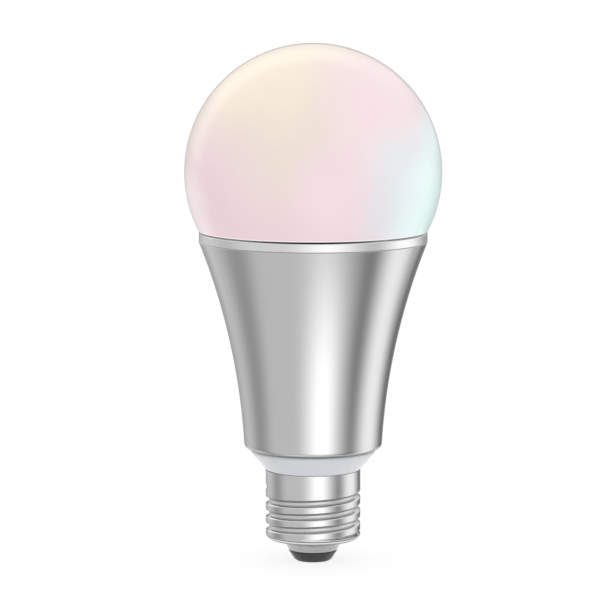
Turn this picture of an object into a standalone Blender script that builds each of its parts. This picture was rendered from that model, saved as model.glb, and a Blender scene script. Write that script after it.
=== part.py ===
"""Smart light bulb: frosted globe, flared metal body, white collar and medium screw base.

Built in metres with +Z up along the bulb's axis. The origin is the middle of the flat end of the
centre contact, which is the face that the bulb seats on in its socket.
"""

import math

import bmesh
import bpy
from mathutils import Matrix, Vector

MM = 0.001

# Clearances
FIT_GAP = 0.3 * MM
FACE_GAP = 0.1 * MM

# Roundness of the turned pieces
WIDE_STEPS = 40
BASE_STEPS = 28
SMALL_STEPS = 14
SHARP_ANGLE = math.radians(35)

# Centre contact
CONTACT_RADIUS = 4.75 * MM
CONTACT_EDGE = 0.2 * MM
CONTACT_HEIGHT = 0.25 * MM
STEM_RADIUS = 1.5 * MM
STEM_LENGTH = 9.0 * MM

# Insulator under the screw shell
NOSE_TIP_RADIUS = 5.3 * MM
NOSE_RADIUS = 6.65 * MM
NOSE_HEIGHT = 2.6 * MM
NOSE_ROUND = 0.35 * MM
INSULATOR_FLANGE_RADIUS = 10.2 * MM
INSULATOR_FLANGE_HEIGHT = 2.4 * MM

# Screw shell, a rolled sheet with the medium Edison thread
SHELL_RADIUS = 13.0 * MM
SHELL_HEIGHT = 22.25 * MM
SHELL_WALL = 0.4 * MM
LIP_RADIUS = 6.7 * MM
LIP_HEIGHT = 2.0 * MM
LIP_TOP_RADIUS = 7.7 * MM
SHOULDER_RISE = 1.05 * MM
SHELL_CORNER = 1.4 * MM
THREAD_PITCH = 3.629 * MM
THREAD_DEPTH = 1.0 * MM
GROOVE_WIDTH = 2.2 * MM
THREAD_TURNS = 3.72
THREAD_RUN_OUT = 0.9 * MM
THREAD_START_ANGLE = math.radians(134.5)

# White collar, with the neck inside the shell and the snap spigot inside the body
COLLAR_OVERHANG = 2.4 * MM
COLLAR_HEIGHT = 5.5 * MM
COLLAR_ROUND = 0.6 * MM
NECK_WALL = 1.3 * MM
NECK_LENGTH = 15.0 * MM
SPIGOT_RADIUS = 14.6 * MM
SPIGOT_WALL = 1.4 * MM
SNAP_BEAD = 0.6 * MM
SNAP_HEIGHT = 1.4 * MM
SNAP_SLOT = 2.0 * MM

# Flared body
GLOBE_OVERHANG = 3.9 * MM
GLOBE_RADIUS = 35.0 * MM
RIM_RADIUS = GLOBE_RADIUS - GLOBE_OVERHANG
RIM_BAND = 2.55 * MM
RIM_WALL = 1.5 * MM
RIM_EDGE = 0.25 * MM
FOOT_LEDGE = 4.0 * MM
FOOT_ROUND = 1.5 * MM
FOOT_LIP = 1.5 * MM
HOUSING_HEIGHT = 59.3 * MM
HOUSING_WALL = 1.6 * MM
FLARE_CURVE = 180.0 * MM
FLARE_POINTS = 8
LEDGE_DEPTH = 8.0 * MM
LEDGE_WIDTH = 1.5 * MM
LEDGE_HEIGHT = 1.5 * MM

# Globe and the bead that seals it
GLOBE_WALL = 1.5 * MM
GLOBE_POINTS = 10
GLOBE_LOWER_POINTS = 4
SKIRT_DEPTH = 3.7 * MM
SEAL_HEIGHT = 0.7 * MM

# Cup that insulates the driver from the metal body
CUP_WALL = 1.2 * MM
CUP_CLEARANCE = 0.4 * MM
CUP_DROP = 4.4 * MM
CUP_POINTS = 7
RIB_DEPTH = 2.2 * MM
RIB_THICKNESS = 1.0 * MM
RIB_END_MARGIN = 4.0 * MM

# Light engine
PLATE_THICKNESS = 1.5 * MM
PAD_THICKNESS = 0.5 * MM
LED_BOARD_THICKNESS = 1.2 * MM
LED_BOARD_INSET = 2.6 * MM
WHITE_LED_COUNT = 12
WHITE_LED_SIZE = (3.5 * MM, 2.8 * MM, 0.8 * MM)
WHITE_LED_EDGE = 3.4 * MM
COLOR_LED_COUNT = 6
COLOR_LED_SIZE = (5.0 * MM, 5.0 * MM, 1.5 * MM)
COLOR_LED_RING = 11.5 * MM
LED_WINDOW_RIM = 0.5 * MM
LED_WINDOW_DEPTH = 0.3 * MM
SCREW_COUNT = 3
SCREW_EDGE = 8.9 * MM
SCREW_FIRST_ANGLE = math.radians(30)
SCREW_RADIUS = 1.2 * MM
SCREW_HEAD_RADIUS = 2.3 * MM
SCREW_HEAD_HEIGHT = 1.5 * MM
SCREW_TIP = 1.2 * MM

# Driver board
BOARD_Y = -2.0 * MM
BOARD_THICKNESS = 1.2 * MM
BOARD_EDGE_GAP = 0.4 * MM
BOARD_TOP_DROP = 2.0 * MM
BOARD_BOTTOM_RISE = 3.0 * MM
BOARD_EDGE_POINTS = 5
COLUMN_X = 7.5 * MM
COLUMN_GAP = 1.5 * MM

# Parts on the driver board
FILM_CAPACITOR_SIZE = (9.0 * MM, 5.0 * MM, 7.0 * MM)
BULK_CAPACITOR_RADIUS = 5.0 * MM
BULK_CAPACITOR_HEIGHT = 14.0 * MM
OUTPUT_CAPACITOR_RADIUS = 4.0 * MM
OUTPUT_CAPACITOR_HEIGHT = 9.0 * MM
CHOKE_RADIUS = 4.0 * MM
CHOKE_HEIGHT = 8.5 * MM
CHOKE_FLANGE = 1.2 * MM
CHOKE_WINDING_STEP = 0.6 * MM
CORE_SIZE = (10.4 * MM, 5.0 * MM, 11.0 * MM)
CORE_LIMB = 1.3 * MM
CORE_LEG_RADIUS = 2.0 * MM
BOBBIN_FLANGE = 0.8 * MM
BOBBIN_WINDING_STEP = 0.3 * MM
FUSE_RADIUS = 1.7 * MM
FUSE_LENGTH = 8.0 * MM
FUSE_LEAD_RADIUS = 0.4 * MM
FUSE_LEAD_LENGTH = 2.5 * MM
BRIDGE_SIZE = (4.7 * MM, 1.6 * MM, 3.9 * MM)
CHIP_SIZE = (4.9 * MM, 1.5 * MM, 3.9 * MM)
DIODE_SIZE = (4.3 * MM, 2.0 * MM, 2.6 * MM)
PACKAGE_LEAD_REACH = 1.0 * MM
PACKAGE_LEAD_THICKNESS = 0.25 * MM

# Radio module, standing through a slot in the light engine
MODULE_WIDTH = 14.0 * MM
MODULE_THICKNESS = 0.8 * MM
MODULE_STANDOFF = 2.5 * MM
ANTENNA_REACH = 11.0 * MM
CAN_SIZE = (12.0 * MM, 2.2 * MM, 9.0 * MM)
CAN_DROP = 1.0 * MM
MODULE_FOOT = 4.0 * MM
MODULE_HEADER_HEIGHT = 2.5 * MM

# Connector between the driver and the LED board
PIN_COUNT = 5
PIN_PITCH = 2.5 * MM
PIN_SIDE = 0.64 * MM
HEADER_SIDE = 2.5 * MM
HEADER_DROP = 2.0 * MM
SOCKET_SIZE = (15.0 * MM, 5.4 * MM, 3.6 * MM)
SOCKET_ROOF = 1.0 * MM
PIN_SLOT_MARGIN = 0.5 * MM

# Leads from the screw base
LEAD_RADIUS = 0.5 * MM
LEAD_POINTS = 10
NOTCH_WIDTH = 1.8 * MM
NOTCH_HEIGHT = 6.0 * MM

# Heights that follow from the sizes above, from the contact up
NOSE_BOTTOM = CONTACT_HEIGHT + FACE_GAP
NOSE_TOP = NOSE_BOTTOM + NOSE_HEIGHT
LIP_Z = NOSE_TOP + FACE_GAP
SHOULDER_Z = LIP_Z + LIP_HEIGHT
CORNER_Z = SHOULDER_Z + SHOULDER_RISE
THREAD_BOTTOM = CORNER_Z + SHELL_CORNER
THREAD_TOP = THREAD_BOTTOM + THREAD_TURNS * THREAD_PITCH
SHELL_TOP = LIP_Z + SHELL_HEIGHT
COLLAR_BOTTOM = SHELL_TOP + FIT_GAP
COLLAR_TOP = COLLAR_BOTTOM + COLLAR_HEIGHT
HOUSING_BOTTOM = COLLAR_TOP + FACE_GAP
FOOT_LIP_TOP = HOUSING_BOTTOM + FOOT_LIP
RIM_TOP = HOUSING_BOTTOM + HOUSING_HEIGHT
BAND_BOTTOM = RIM_TOP - RIM_BAND
LEDGE_Z = RIM_TOP - LEDGE_DEPTH
GLOBE_LIP = RIM_TOP + FIT_GAP
GLOBE_CENTRE = GLOBE_LIP + math.sqrt(GLOBE_RADIUS**2 - RIM_RADIUS**2)
SKIRT_BOTTOM = GLOBE_LIP - SKIRT_DEPTH
SEAL_TOP = SKIRT_BOTTOM - FIT_GAP
SEAL_BOTTOM = SEAL_TOP - SEAL_HEIGHT
POCKET_FLOOR = SEAL_BOTTOM - FACE_GAP
CUP_BOTTOM = FOOT_LIP_TOP + FACE_GAP
CUP_FLOOR = CUP_BOTTOM + CUP_WALL
CUP_TOP = LEDGE_Z - CUP_DROP
SPIGOT_TOP = CUP_FLOOR + FIT_GAP + SNAP_HEIGHT
NECK_BOTTOM = COLLAR_BOTTOM - NECK_LENGTH
PLATE_BOTTOM = LEDGE_Z + FACE_GAP
PLATE_TOP = PLATE_BOTTOM + PLATE_THICKNESS
PAD_BOTTOM = PLATE_TOP + FACE_GAP
PAD_TOP = PAD_BOTTOM + PAD_THICKNESS
LED_BOARD_BOTTOM = PAD_TOP + FACE_GAP
LED_BOARD_TOP = LED_BOARD_BOTTOM + LED_BOARD_THICKNESS
LED_BOTTOM = LED_BOARD_TOP + FACE_GAP
BOARD_BOTTOM = NECK_BOTTOM + BOARD_BOTTOM_RISE
BOARD_TOP = CUP_TOP - BOARD_TOP_DROP
BOARD_FRONT = BOARD_Y + BOARD_THICKNESS / 2
BOARD_BACK = BOARD_Y - BOARD_THICKNESS / 2
COLUMN_START = SPIGOT_TOP + COLUMN_GAP
MODULE_Y = BOARD_BACK - MODULE_STANDOFF - MODULE_THICKNESS / 2
MODULE_TOP = LED_BOARD_TOP + ANTENNA_REACH
CAN_TOP = PLATE_BOTTOM - CAN_DROP
MODULE_BOTTOM = CAN_TOP - CAN_SIZE[2] - MODULE_FOOT
PIN_Y = BOARD_FRONT + FACE_GAP + HEADER_SIDE / 2
HEADER_TOP = BOARD_TOP - HEADER_DROP
HEADER_LENGTH = PIN_COUNT * PIN_PITCH
PIN_OPENING = (HEADER_LENGTH, HEADER_SIDE + 2 * FIT_GAP)

# Radii that follow from the fits
RIM_BORE = RIM_RADIUS - RIM_WALL
SKIRT_RADIUS = RIM_BORE - FIT_GAP
FOOT_BORE = SPIGOT_RADIUS + FIT_GAP
FOOT_RADIUS = FOOT_BORE + FOOT_LEDGE
COLLAR_TOP_RADIUS = SPIGOT_RADIUS + COLLAR_OVERHANG
NECK_RADIUS = SHELL_RADIUS - THREAD_DEPTH - SHELL_WALL - FIT_GAP
NECK_BORE = NECK_RADIUS - NECK_WALL
SCREW_HOLE_RADIUS = SCREW_RADIUS + FIT_GAP


def flare_centre():
    """Centre of the arc of the body's side, which runs from the rim band down to the foot's rounding."""
    top = Vector((RIM_RADIUS, BAND_BOTTOM))
    bottom = Vector((FOOT_RADIUS, HOUSING_BOTTOM + FOOT_ROUND))
    chord = top - bottom
    outward = Vector((chord.y, -chord.x)).normalized()
    return (top + bottom) / 2 + outward * math.sqrt(FLARE_CURVE**2 - chord.length_squared / 4)


def flare_radius(height):
    """Outer radius of the body's flared side at a height."""
    centre = flare_centre()
    return centre.x - math.sqrt(FLARE_CURVE**2 - (height - centre.y) ** 2)


def cup_radius(height):
    return flare_radius(height) - HOUSING_WALL - CUP_CLEARANCE


def cup_bore(height):
    return cup_radius(height) - CUP_WALL


PLATE_BORE = flare_radius(LEDGE_Z) - HOUSING_WALL
PLATE_RADIUS = PLATE_BORE - FIT_GAP
LED_BOARD_RADIUS = PLATE_RADIUS - LED_BOARD_INSET
SCREW_RING = LED_BOARD_RADIUS - SCREW_EDGE


def spaced(start, end, count):
    """Evenly spaced values from start to end, both included."""
    return [start + (end - start) * i / (count - 1) for i in range(count)]


def arc(centre_r, centre_z, radius, start_degrees, end_degrees, count):
    """Profile points on an arc. Degrees count from the outward direction towards up."""
    angles = [math.radians(a) for a in spaced(start_degrees, end_degrees, count)]
    return [(centre_r + radius * math.cos(a), centre_z + radius * math.sin(a)) for a in angles]


def clear_scene():
    for obj in list(bpy.data.objects):
        bpy.data.objects.remove(obj)


def new_collection(name):
    collection = bpy.data.collections.new(name)
    bpy.context.scene.collection.children.link(collection)
    return collection


def finish(name, colour, roughness, metallic=0.0):
    """A plain Principled material."""
    made = bpy.data.materials.new(name)
    made.use_nodes = True
    shader = made.node_tree.nodes["Principled BSDF"]
    shader.inputs["Base Color"].default_value = (*colour, 1.0)
    shader.inputs["Roughness"].default_value = roughness
    shader.inputs["Metallic"].default_value = metallic
    made.diffuse_color = (*colour, 1.0)
    return made


def add_object(name, data, material):
    """A named part, or a cutter where there is no material."""
    obj = bpy.data.objects.new(name, data)
    if material is None:
        CUTTERS.objects.link(obj)
        obj.hide_render = True
        obj.display_type = "WIRE"
    else:
        PARTS.objects.link(obj)
        obj.data.materials.append(material)
    return obj


def real_mesh(obj):
    """The object's evaluated mesh, as a new mesh."""
    bpy.context.view_layer.update()
    return bpy.data.meshes.new_from_object(obj.evaluated_get(bpy.context.evaluated_depsgraph_get()))


def smooth(mesh):
    mesh.shade_smooth()
    mesh.set_sharp_from_angle(angle=SHARP_ANGLE)


def turned(name, profile, material, steps, matrix=None):
    """A solid of revolution about Z. The profile runs down its outer side and back up its inner side.

    A profile that starts and ends on the axis stays open there, and any other is closed.
    """
    guide_mesh = bpy.data.meshes.new(name + "_profile")
    closed = profile[0][0] > 0
    edges = [(i, i + 1) for i in range(len(profile) - 1)]
    if closed:
        edges.append((len(profile) - 1, 0))
    guide_mesh.from_pydata([(r, 0, z) for r, z in profile], edges, [])
    guide = add_object(name + "_profile", guide_mesh, None)
    screw = guide.modifiers.new("Turn", "SCREW")
    screw.angle = math.tau
    screw.steps = screw.render_steps = steps
    screw.use_merge_vertices = True
    screw.merge_threshold = 1e-6
    mesh = real_mesh(guide)
    mesh.name = name
    bpy.data.objects.remove(guide)
    bpy.data.meshes.remove(guide_mesh)
    smooth(mesh)
    if matrix is not None:
        mesh.transform(matrix)
    return add_object(name, mesh, material)


def box(name, size, centre, material, bevel=0.0):
    """A block with optional rounded edges."""
    bm = bmesh.new()
    bmesh.ops.create_cube(bm, size=1.0)
    bmesh.ops.scale(bm, vec=size, verts=bm.verts)
    mesh = bpy.data.meshes.new(name)
    bm.to_mesh(mesh)
    bm.free()
    obj = add_object(name, mesh, material)
    obj.location = centre
    if bevel:
        modifier = obj.modifiers.new("Edges", "BEVEL")
        modifier.width = bevel
        modifier.segments = 1
    return obj


def rod(name, radius, length, centre, material, steps=SMALL_STEPS):
    """A plain cylinder along Z."""
    bm = bmesh.new()
    bmesh.ops.create_cone(
        bm, cap_ends=True, segments=steps, radius1=radius, radius2=radius, depth=length
    )
    mesh = bpy.data.meshes.new(name)
    bm.to_mesh(mesh)
    bm.free()
    obj = add_object(name, mesh, material)
    obj.location = centre
    return obj


def boolean(obj, operation, other):
    modifier = obj.modifiers.new(operation.title(), "BOOLEAN")
    modifier.operation = operation
    modifier.object = other


def tube(name, points, radius, material):
    """A wire along a smooth curve through the points."""
    curve = bpy.data.curves.new(name, "CURVE")
    curve.dimensions = "3D"
    curve.bevel_depth = radius
    curve.bevel_resolution = 2
    curve.use_fill_caps = True
    spline = curve.splines.new("POLY")
    path = smooth_path([Vector(p) for p in points])
    spline.points.add(len(path) - 1)
    for point, place in zip(spline.points, path):
        point.co = (*place, 1.0)
    return add_object(name, curve, material)


def smooth_path(points):
    """Points read from a Catmull-Rom curve through the given ones."""
    ends = [points[0] * 2 - points[1], *points, points[-1] * 2 - points[-2]]
    path = []
    for share in spaced(0, len(points) - 1, LEAD_POINTS):
        i = min(int(share), len(points) - 2)
        t = share - i
        a, b, c, d = ends[i : i + 4]
        path.append(
            b + ((c - a) + ((2 * a - 5 * b + 4 * c - d) + (3 * b - 3 * c + d - a) * t) * t) * t / 2
        )
    return path


# Screw base


def center_contact():
    top = CONTACT_HEIGHT + STEM_LENGTH
    profile = [
        (0, top),
        (STEM_RADIUS, top),
        (STEM_RADIUS, CONTACT_HEIGHT),
        (CONTACT_RADIUS, CONTACT_HEIGHT),
        *arc(CONTACT_RADIUS - CONTACT_EDGE, CONTACT_EDGE, CONTACT_EDGE, 0, -90, 4),
        (0, 0),
    ]
    return turned("center_contact", profile, CONTACT_METAL, BASE_STEPS)


def base_insulator():
    """Nose below the lip, waist through it, and a flange that lies on the inside of the shell's shoulder."""
    hole = STEM_RADIUS + FIT_GAP
    waist = LIP_RADIUS - SHELL_WALL - FIT_GAP
    shoulder_run = SHELL_RADIUS - SHELL_CORNER - LIP_TOP_RADIUS
    flange_share = (INSULATOR_FLANGE_RADIUS - LIP_TOP_RADIUS) / shoulder_run
    seat = SHOULDER_Z + SHELL_WALL + FIT_GAP
    flange_z = seat + flange_share * SHOULDER_RISE
    flange_top = flange_z + INSULATOR_FLANGE_HEIGHT
    profile = [
        (INSULATOR_FLANGE_RADIUS, flange_top),
        (INSULATOR_FLANGE_RADIUS, flange_z),
        (LIP_TOP_RADIUS, seat),
        (waist, seat),
        (waist, NOSE_TOP),
        (NOSE_RADIUS, NOSE_TOP),
        (NOSE_TIP_RADIUS, NOSE_BOTTOM + NOSE_ROUND),
        (NOSE_TIP_RADIUS - NOSE_ROUND, NOSE_BOTTOM),
        (hole, NOSE_BOTTOM),
        (hole, flange_top),
    ]
    return turned("base_insulator", profile, BLACK_GLASS, BASE_STEPS)


def thread_pitch_profile():
    """One pitch of the rolled thread, top to bottom: flat crest, round groove, flat crest."""
    groove = [
        (SHELL_RADIUS - THREAD_DEPTH * math.cos(a), -GROOVE_WIDTH / 2 * math.sin(a))
        for a in spaced(-math.pi / 2, math.pi / 2, 4)
    ]
    return [(SHELL_RADIUS, THREAD_PITCH / 2), *groove, (SHELL_RADIUS, -THREAD_PITCH / 2)]


def helical_thread():
    """The threaded wall: the pitch profile swept up a helix, faded out and trimmed flat at both ends."""
    profile = thread_pitch_profile()
    guide_mesh = bpy.data.meshes.new("thread_profile")
    edges = [(i, i + 1) for i in range(len(profile) - 1)]
    guide_mesh.from_pydata([(r, 0, z) for r, z in profile], edges, [])
    guide = add_object("thread_profile", guide_mesh, None)
    screw = guide.modifiers.new("Helix", "SCREW")
    screw.angle = math.tau
    screw.screw_offset = THREAD_PITCH
    screw.iterations = math.ceil(THREAD_TURNS) + 3
    screw.steps = screw.render_steps = BASE_STEPS
    bm = bmesh.new()
    bm.from_mesh(real_mesh(guide))
    bpy.data.objects.remove(guide)
    start = Matrix.Translation((0, 0, THREAD_BOTTOM - 1.5 * THREAD_PITCH))
    bmesh.ops.transform(bm, matrix=start @ Matrix.Rotation(THREAD_START_ANGLE, 4, "Z"), verts=bm.verts)
    for vert in bm.verts:
        radius = math.hypot(vert.co.x, vert.co.y)
        inside = min(vert.co.z - THREAD_BOTTOM, THREAD_TOP - vert.co.z)
        kept = min(max(inside / THREAD_RUN_OUT, 0), 1)
        scale = (SHELL_RADIUS + (radius - SHELL_RADIUS) * kept) / radius
        vert.co.x *= scale
        vert.co.y *= scale
        vert.co.z = min(max(vert.co.z, THREAD_BOTTOM), THREAD_TOP)
    bmesh.ops.remove_doubles(bm, verts=bm.verts, dist=1e-6)
    return bm


def extend_ring(bm, height, profile):
    """Carries the open ring at a height on through the profile's circles."""
    edges = [e for e in bm.edges if e.is_boundary and abs(e.verts[0].co.z - height) < 1e-6]
    for radius, z in profile:
        made = bmesh.ops.extrude_edge_only(bm, edges=edges)["geom"]
        for vert in (g for g in made if isinstance(g, bmesh.types.BMVert)):
            scale = radius / math.hypot(vert.co.x, vert.co.y)
            vert.co = (vert.co.x * scale, vert.co.y * scale, z)
        edges = [g for g in made if isinstance(g, bmesh.types.BMEdge)]


def screw_shell():
    bm = helical_thread()
    extend_ring(bm, THREAD_TOP, [(SHELL_RADIUS, SHELL_TOP)])
    corner_r = SHELL_RADIUS - SHELL_CORNER
    corner = arc(corner_r, THREAD_BOTTOM, SHELL_CORNER, -22.5, -90, 4)
    extend_ring(bm, THREAD_BOTTOM, [*corner, (LIP_TOP_RADIUS, SHOULDER_Z), (LIP_RADIUS, LIP_Z)])
    bmesh.ops.recalc_face_normals(bm, faces=bm.faces)
    mesh = bpy.data.meshes.new("screw_shell")
    bm.to_mesh(mesh)
    bm.free()
    smooth(mesh)
    shell = add_object("screw_shell", mesh, SHELL_METAL)
    sheet = shell.modifiers.new("Sheet", "SOLIDIFY")
    sheet.thickness = SHELL_WALL
    sheet.offset = -1
    sheet.use_even_offset = True
    return shell


# Body


def base_collar():
    """White cone with the neck below it and a split snap spigot above it."""
    bead = SPIGOT_RADIUS + FIT_GAP + SNAP_BEAD
    bead_bottom = CUP_FLOOR + FIT_GAP
    spigot_bore = SPIGOT_RADIUS - SPIGOT_WALL
    profile = [
        (SPIGOT_RADIUS - SNAP_BEAD, SPIGOT_TOP),
        (bead, bead_bottom + SNAP_BEAD / 2),
        (bead, bead_bottom),
        (SPIGOT_RADIUS, bead_bottom),
        (SPIGOT_RADIUS, COLLAR_TOP),
        (COLLAR_TOP_RADIUS - COLLAR_ROUND, COLLAR_TOP),
        (COLLAR_TOP_RADIUS, COLLAR_TOP - COLLAR_ROUND),
        (SHELL_RADIUS, COLLAR_BOTTOM + COLLAR_ROUND),
        (SHELL_RADIUS - COLLAR_ROUND, COLLAR_BOTTOM),
        (NECK_RADIUS, COLLAR_BOTTOM),
        (NECK_RADIUS, NECK_BOTTOM),
        (NECK_BORE, NECK_BOTTOM),
        (NECK_BORE, COLLAR_BOTTOM),
        (spigot_bore, COLLAR_TOP),
        (spigot_bore, SPIGOT_TOP),
    ]
    collar = turned("base_collar", profile, WHITE_PLASTIC, BASE_STEPS)
    slot_height = 2 * (SPIGOT_TOP - COLLAR_TOP)
    for i, turn in enumerate((45, 135)):
        slot = box(
            f"snap_slot_{i}",
            (SNAP_SLOT, 4 * SPIGOT_RADIUS, slot_height),
            (0, 0, COLLAR_TOP + FOOT_LIP + slot_height / 2),
            None,
        )
        slot.rotation_euler.z = math.radians(turn)
        boolean(collar, "DIFFERENCE", slot)
    notch = box(
        "lead_notch",
        (4 * NECK_WALL, NOTCH_WIDTH, 2 * NOTCH_HEIGHT),
        (-(NECK_RADIUS + NECK_BORE) / 2, 0, NECK_BOTTOM),
        None,
    )
    boolean(collar, "DIFFERENCE", notch)
    return collar


def heat_sink_housing():
    flare = [(flare_radius(z), z) for z in spaced(BAND_BOTTOM, HOUSING_BOTTOM + FOOT_ROUND, FLARE_POINTS)]
    foot = arc(FOOT_RADIUS - FOOT_ROUND, HOUSING_BOTTOM + FOOT_ROUND, FOOT_ROUND, 0, -90, 4)
    ledge_bore = PLATE_BORE - LEDGE_WIDTH
    ledge_bottom = LEDGE_Z - LEDGE_HEIGHT
    inside = [
        (flare_radius(z) - HOUSING_WALL, z)
        for z in spaced(FOOT_LIP_TOP, ledge_bottom - LEDGE_WIDTH, FLARE_POINTS - 1)
    ]
    profile = [
        (RIM_RADIUS - RIM_EDGE, RIM_TOP),
        (RIM_RADIUS, RIM_TOP - RIM_EDGE),
        *flare,
        *foot[1:],
        (FOOT_BORE, HOUSING_BOTTOM),
        (FOOT_BORE, FOOT_LIP_TOP),
        *inside,
        (ledge_bore, ledge_bottom),
        (ledge_bore, LEDGE_Z),
        (PLATE_BORE, LEDGE_Z),
        (PLATE_BORE, POCKET_FLOOR),
        (RIM_BORE, POCKET_FLOOR),
        (RIM_BORE, RIM_TOP),
    ]
    return turned("heat_sink_housing", profile, BODY_METAL, WIDE_STEPS)


def diffuser_seal():
    outer = RIM_BORE - FIT_GAP
    inner = PLATE_BORE + FIT_GAP
    profile = [
        (outer, SEAL_TOP),
        (outer, SEAL_BOTTOM),
        (inner, SEAL_BOTTOM),
        (inner, SEAL_TOP),
    ]
    return turned("diffuser_seal", profile, SILICONE, WIDE_STEPS)


def diffuser_globe():
    """Sphere that ends at the rim, with a skirt that drops into the rim's pocket."""
    bore = SKIRT_RADIUS - GLOBE_WALL
    inner_radius = GLOBE_RADIUS - GLOBE_WALL
    lip_angle = -math.degrees(math.asin((GLOBE_CENTRE - GLOBE_LIP) / GLOBE_RADIUS))
    bore_angle = -math.degrees(math.acos(bore / inner_radius))
    upper = arc(0, GLOBE_CENTRE, GLOBE_RADIUS, 90, 0, GLOBE_POINTS)
    lower = arc(0, GLOBE_CENTRE, GLOBE_RADIUS, 0, lip_angle, GLOBE_LOWER_POINTS)
    inside = arc(0, GLOBE_CENTRE, inner_radius, bore_angle, 90, GLOBE_POINTS)
    profile = [
        (0, GLOBE_CENTRE + GLOBE_RADIUS),
        *upper[1:],
        *lower[1:],
        (SKIRT_RADIUS, GLOBE_LIP),
        (SKIRT_RADIUS, SKIRT_BOTTOM),
        (bore, SKIRT_BOTTOM),
        *inside[:-1],
        (0, GLOBE_CENTRE + inner_radius),
    ]
    return turned("diffuser_globe", profile, OPAL_PLASTIC, WIDE_STEPS)


def driver_cup():
    """Flared insulating cup with two pairs of ribs that guide the driver board's edges."""
    bore = FOOT_BORE
    heights = spaced(CUP_TOP, CUP_BOTTOM, CUP_POINTS)
    profile = [
        *[(cup_radius(z), z) for z in heights],
        (bore, CUP_BOTTOM),
        (bore, CUP_FLOOR),
        *[(cup_bore(z), z) for z in [CUP_FLOOR, *heights[-2::-1]]],
    ]
    cup = turned("driver_cup", profile, CUP_PLASTIC, BASE_STEPS)
    rib_heights = spaced(CUP_TOP - RIB_END_MARGIN, SPIGOT_TOP + RIB_END_MARGIN, CUP_POINTS)
    ribs = turned(
        "rib_band",
        [
            *[(cup_bore(z) + CUP_WALL / 2, z) for z in rib_heights],
            *[(cup_bore(z) - RIB_DEPTH, z) for z in reversed(rib_heights)],
        ],
        None,
        BASE_STEPS,
    )
    slabs = bmesh.new()
    offset = BOARD_THICKNESS / 2 + FIT_GAP + RIB_THICKNESS / 2
    for side in (-1, 1):
        place = Matrix.Translation((0, BOARD_Y + side * offset, (CUP_TOP + CUP_BOTTOM) / 2))
        size = Matrix.Diagonal((3 * RIM_RADIUS, RIB_THICKNESS, 2 * HOUSING_HEIGHT, 1))
        bmesh.ops.create_cube(slabs, size=1.0, matrix=place @ size)
    slab_mesh = bpy.data.meshes.new("rib_slabs")
    slabs.to_mesh(slab_mesh)
    slabs.free()
    boolean(ribs, "INTERSECT", add_object("rib_slabs", slab_mesh, None))
    boolean(cup, "UNION", ribs)
    return cup


# Light engine


def engine_cutters():
    """Openings that the spreader, pad and LED board share: screw holes, radio slot and pin opening."""
    middle = (PLATE_BOTTOM + LED_BOARD_TOP) / 2
    height = 2 * (LED_BOARD_TOP - PLATE_BOTTOM)
    cutters = [
        rod(f"screw_hole_{i}", SCREW_HOLE_RADIUS, height, (x, y, middle), None)
        for i, (x, y) in enumerate(ring_places(SCREW_COUNT, SCREW_RING, SCREW_FIRST_ANGLE))
    ]
    slot = (MODULE_WIDTH + 2 * FIT_GAP, MODULE_THICKNESS + 2 * FIT_GAP, height)
    cutters.append(box("radio_slot", slot, (0, MODULE_Y, middle), None))
    cutters.append(box("pin_opening", (*PIN_OPENING, height), (0, PIN_Y, middle), None))
    return cutters


def ring_places(count, radius, first=0.0):
    """Places spaced evenly round the axis."""
    angles = [first + math.tau * i / count for i in range(count)]
    return [(radius * math.cos(a), radius * math.sin(a)) for a in angles]


def engine_disc(name, radius, bottom, top, material, cutters):
    disc = rod(name, radius, top - bottom, (0, 0, (bottom + top) / 2), material, WIDE_STEPS)
    for cutter in cutters:
        boolean(disc, "DIFFERENCE", cutter)
    return disc


def led(name, size, place, angle, material):
    """A surface-mount package with a sunken window in its top."""
    bm = bmesh.new()
    bmesh.ops.create_cube(bm, size=1.0)
    bmesh.ops.scale(bm, vec=size, verts=bm.verts)
    top = max(bm.faces, key=lambda face: face.calc_center_median().z)
    bmesh.ops.inset_region(bm, faces=[top], thickness=LED_WINDOW_RIM)
    bmesh.ops.translate(bm, vec=(0, 0, -LED_WINDOW_DEPTH), verts=top.verts)
    mesh = bpy.data.meshes.new(name)
    bm.to_mesh(mesh)
    bm.free()
    obj = add_object(name, mesh, material)
    obj.location = (*place, LED_BOTTOM + size[2] / 2)
    obj.rotation_euler.z = angle
    return obj


def led_ring(name, count, size, radius, first, material):
    for i, (x, y) in enumerate(ring_places(count, radius, first)):
        led(f"{name}_{i + 1:02d}", size, (x, y), math.atan2(y, x), material)


def board_screws():
    top = LED_BOTTOM + SCREW_HEAD_HEIGHT
    profile = [
        (0, top),
        (SCREW_HEAD_RADIUS * 0.6, top),
        (SCREW_HEAD_RADIUS, LED_BOTTOM + SCREW_HEAD_HEIGHT * 0.4),
        (SCREW_HEAD_RADIUS, LED_BOTTOM),
        (SCREW_RADIUS, LED_BOTTOM),
        (SCREW_RADIUS, PLATE_BOTTOM - SCREW_TIP),
        (0, PLATE_BOTTOM - SCREW_TIP - SCREW_RADIUS / 2),
    ]
    for i, (x, y) in enumerate(ring_places(SCREW_COUNT, SCREW_RING, SCREW_FIRST_ANGLE)):
        screw = turned(f"board_screw_{i + 1}", profile, SCREW_STEEL, SMALL_STEPS)
        screw.location = (x, y, 0)


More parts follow.
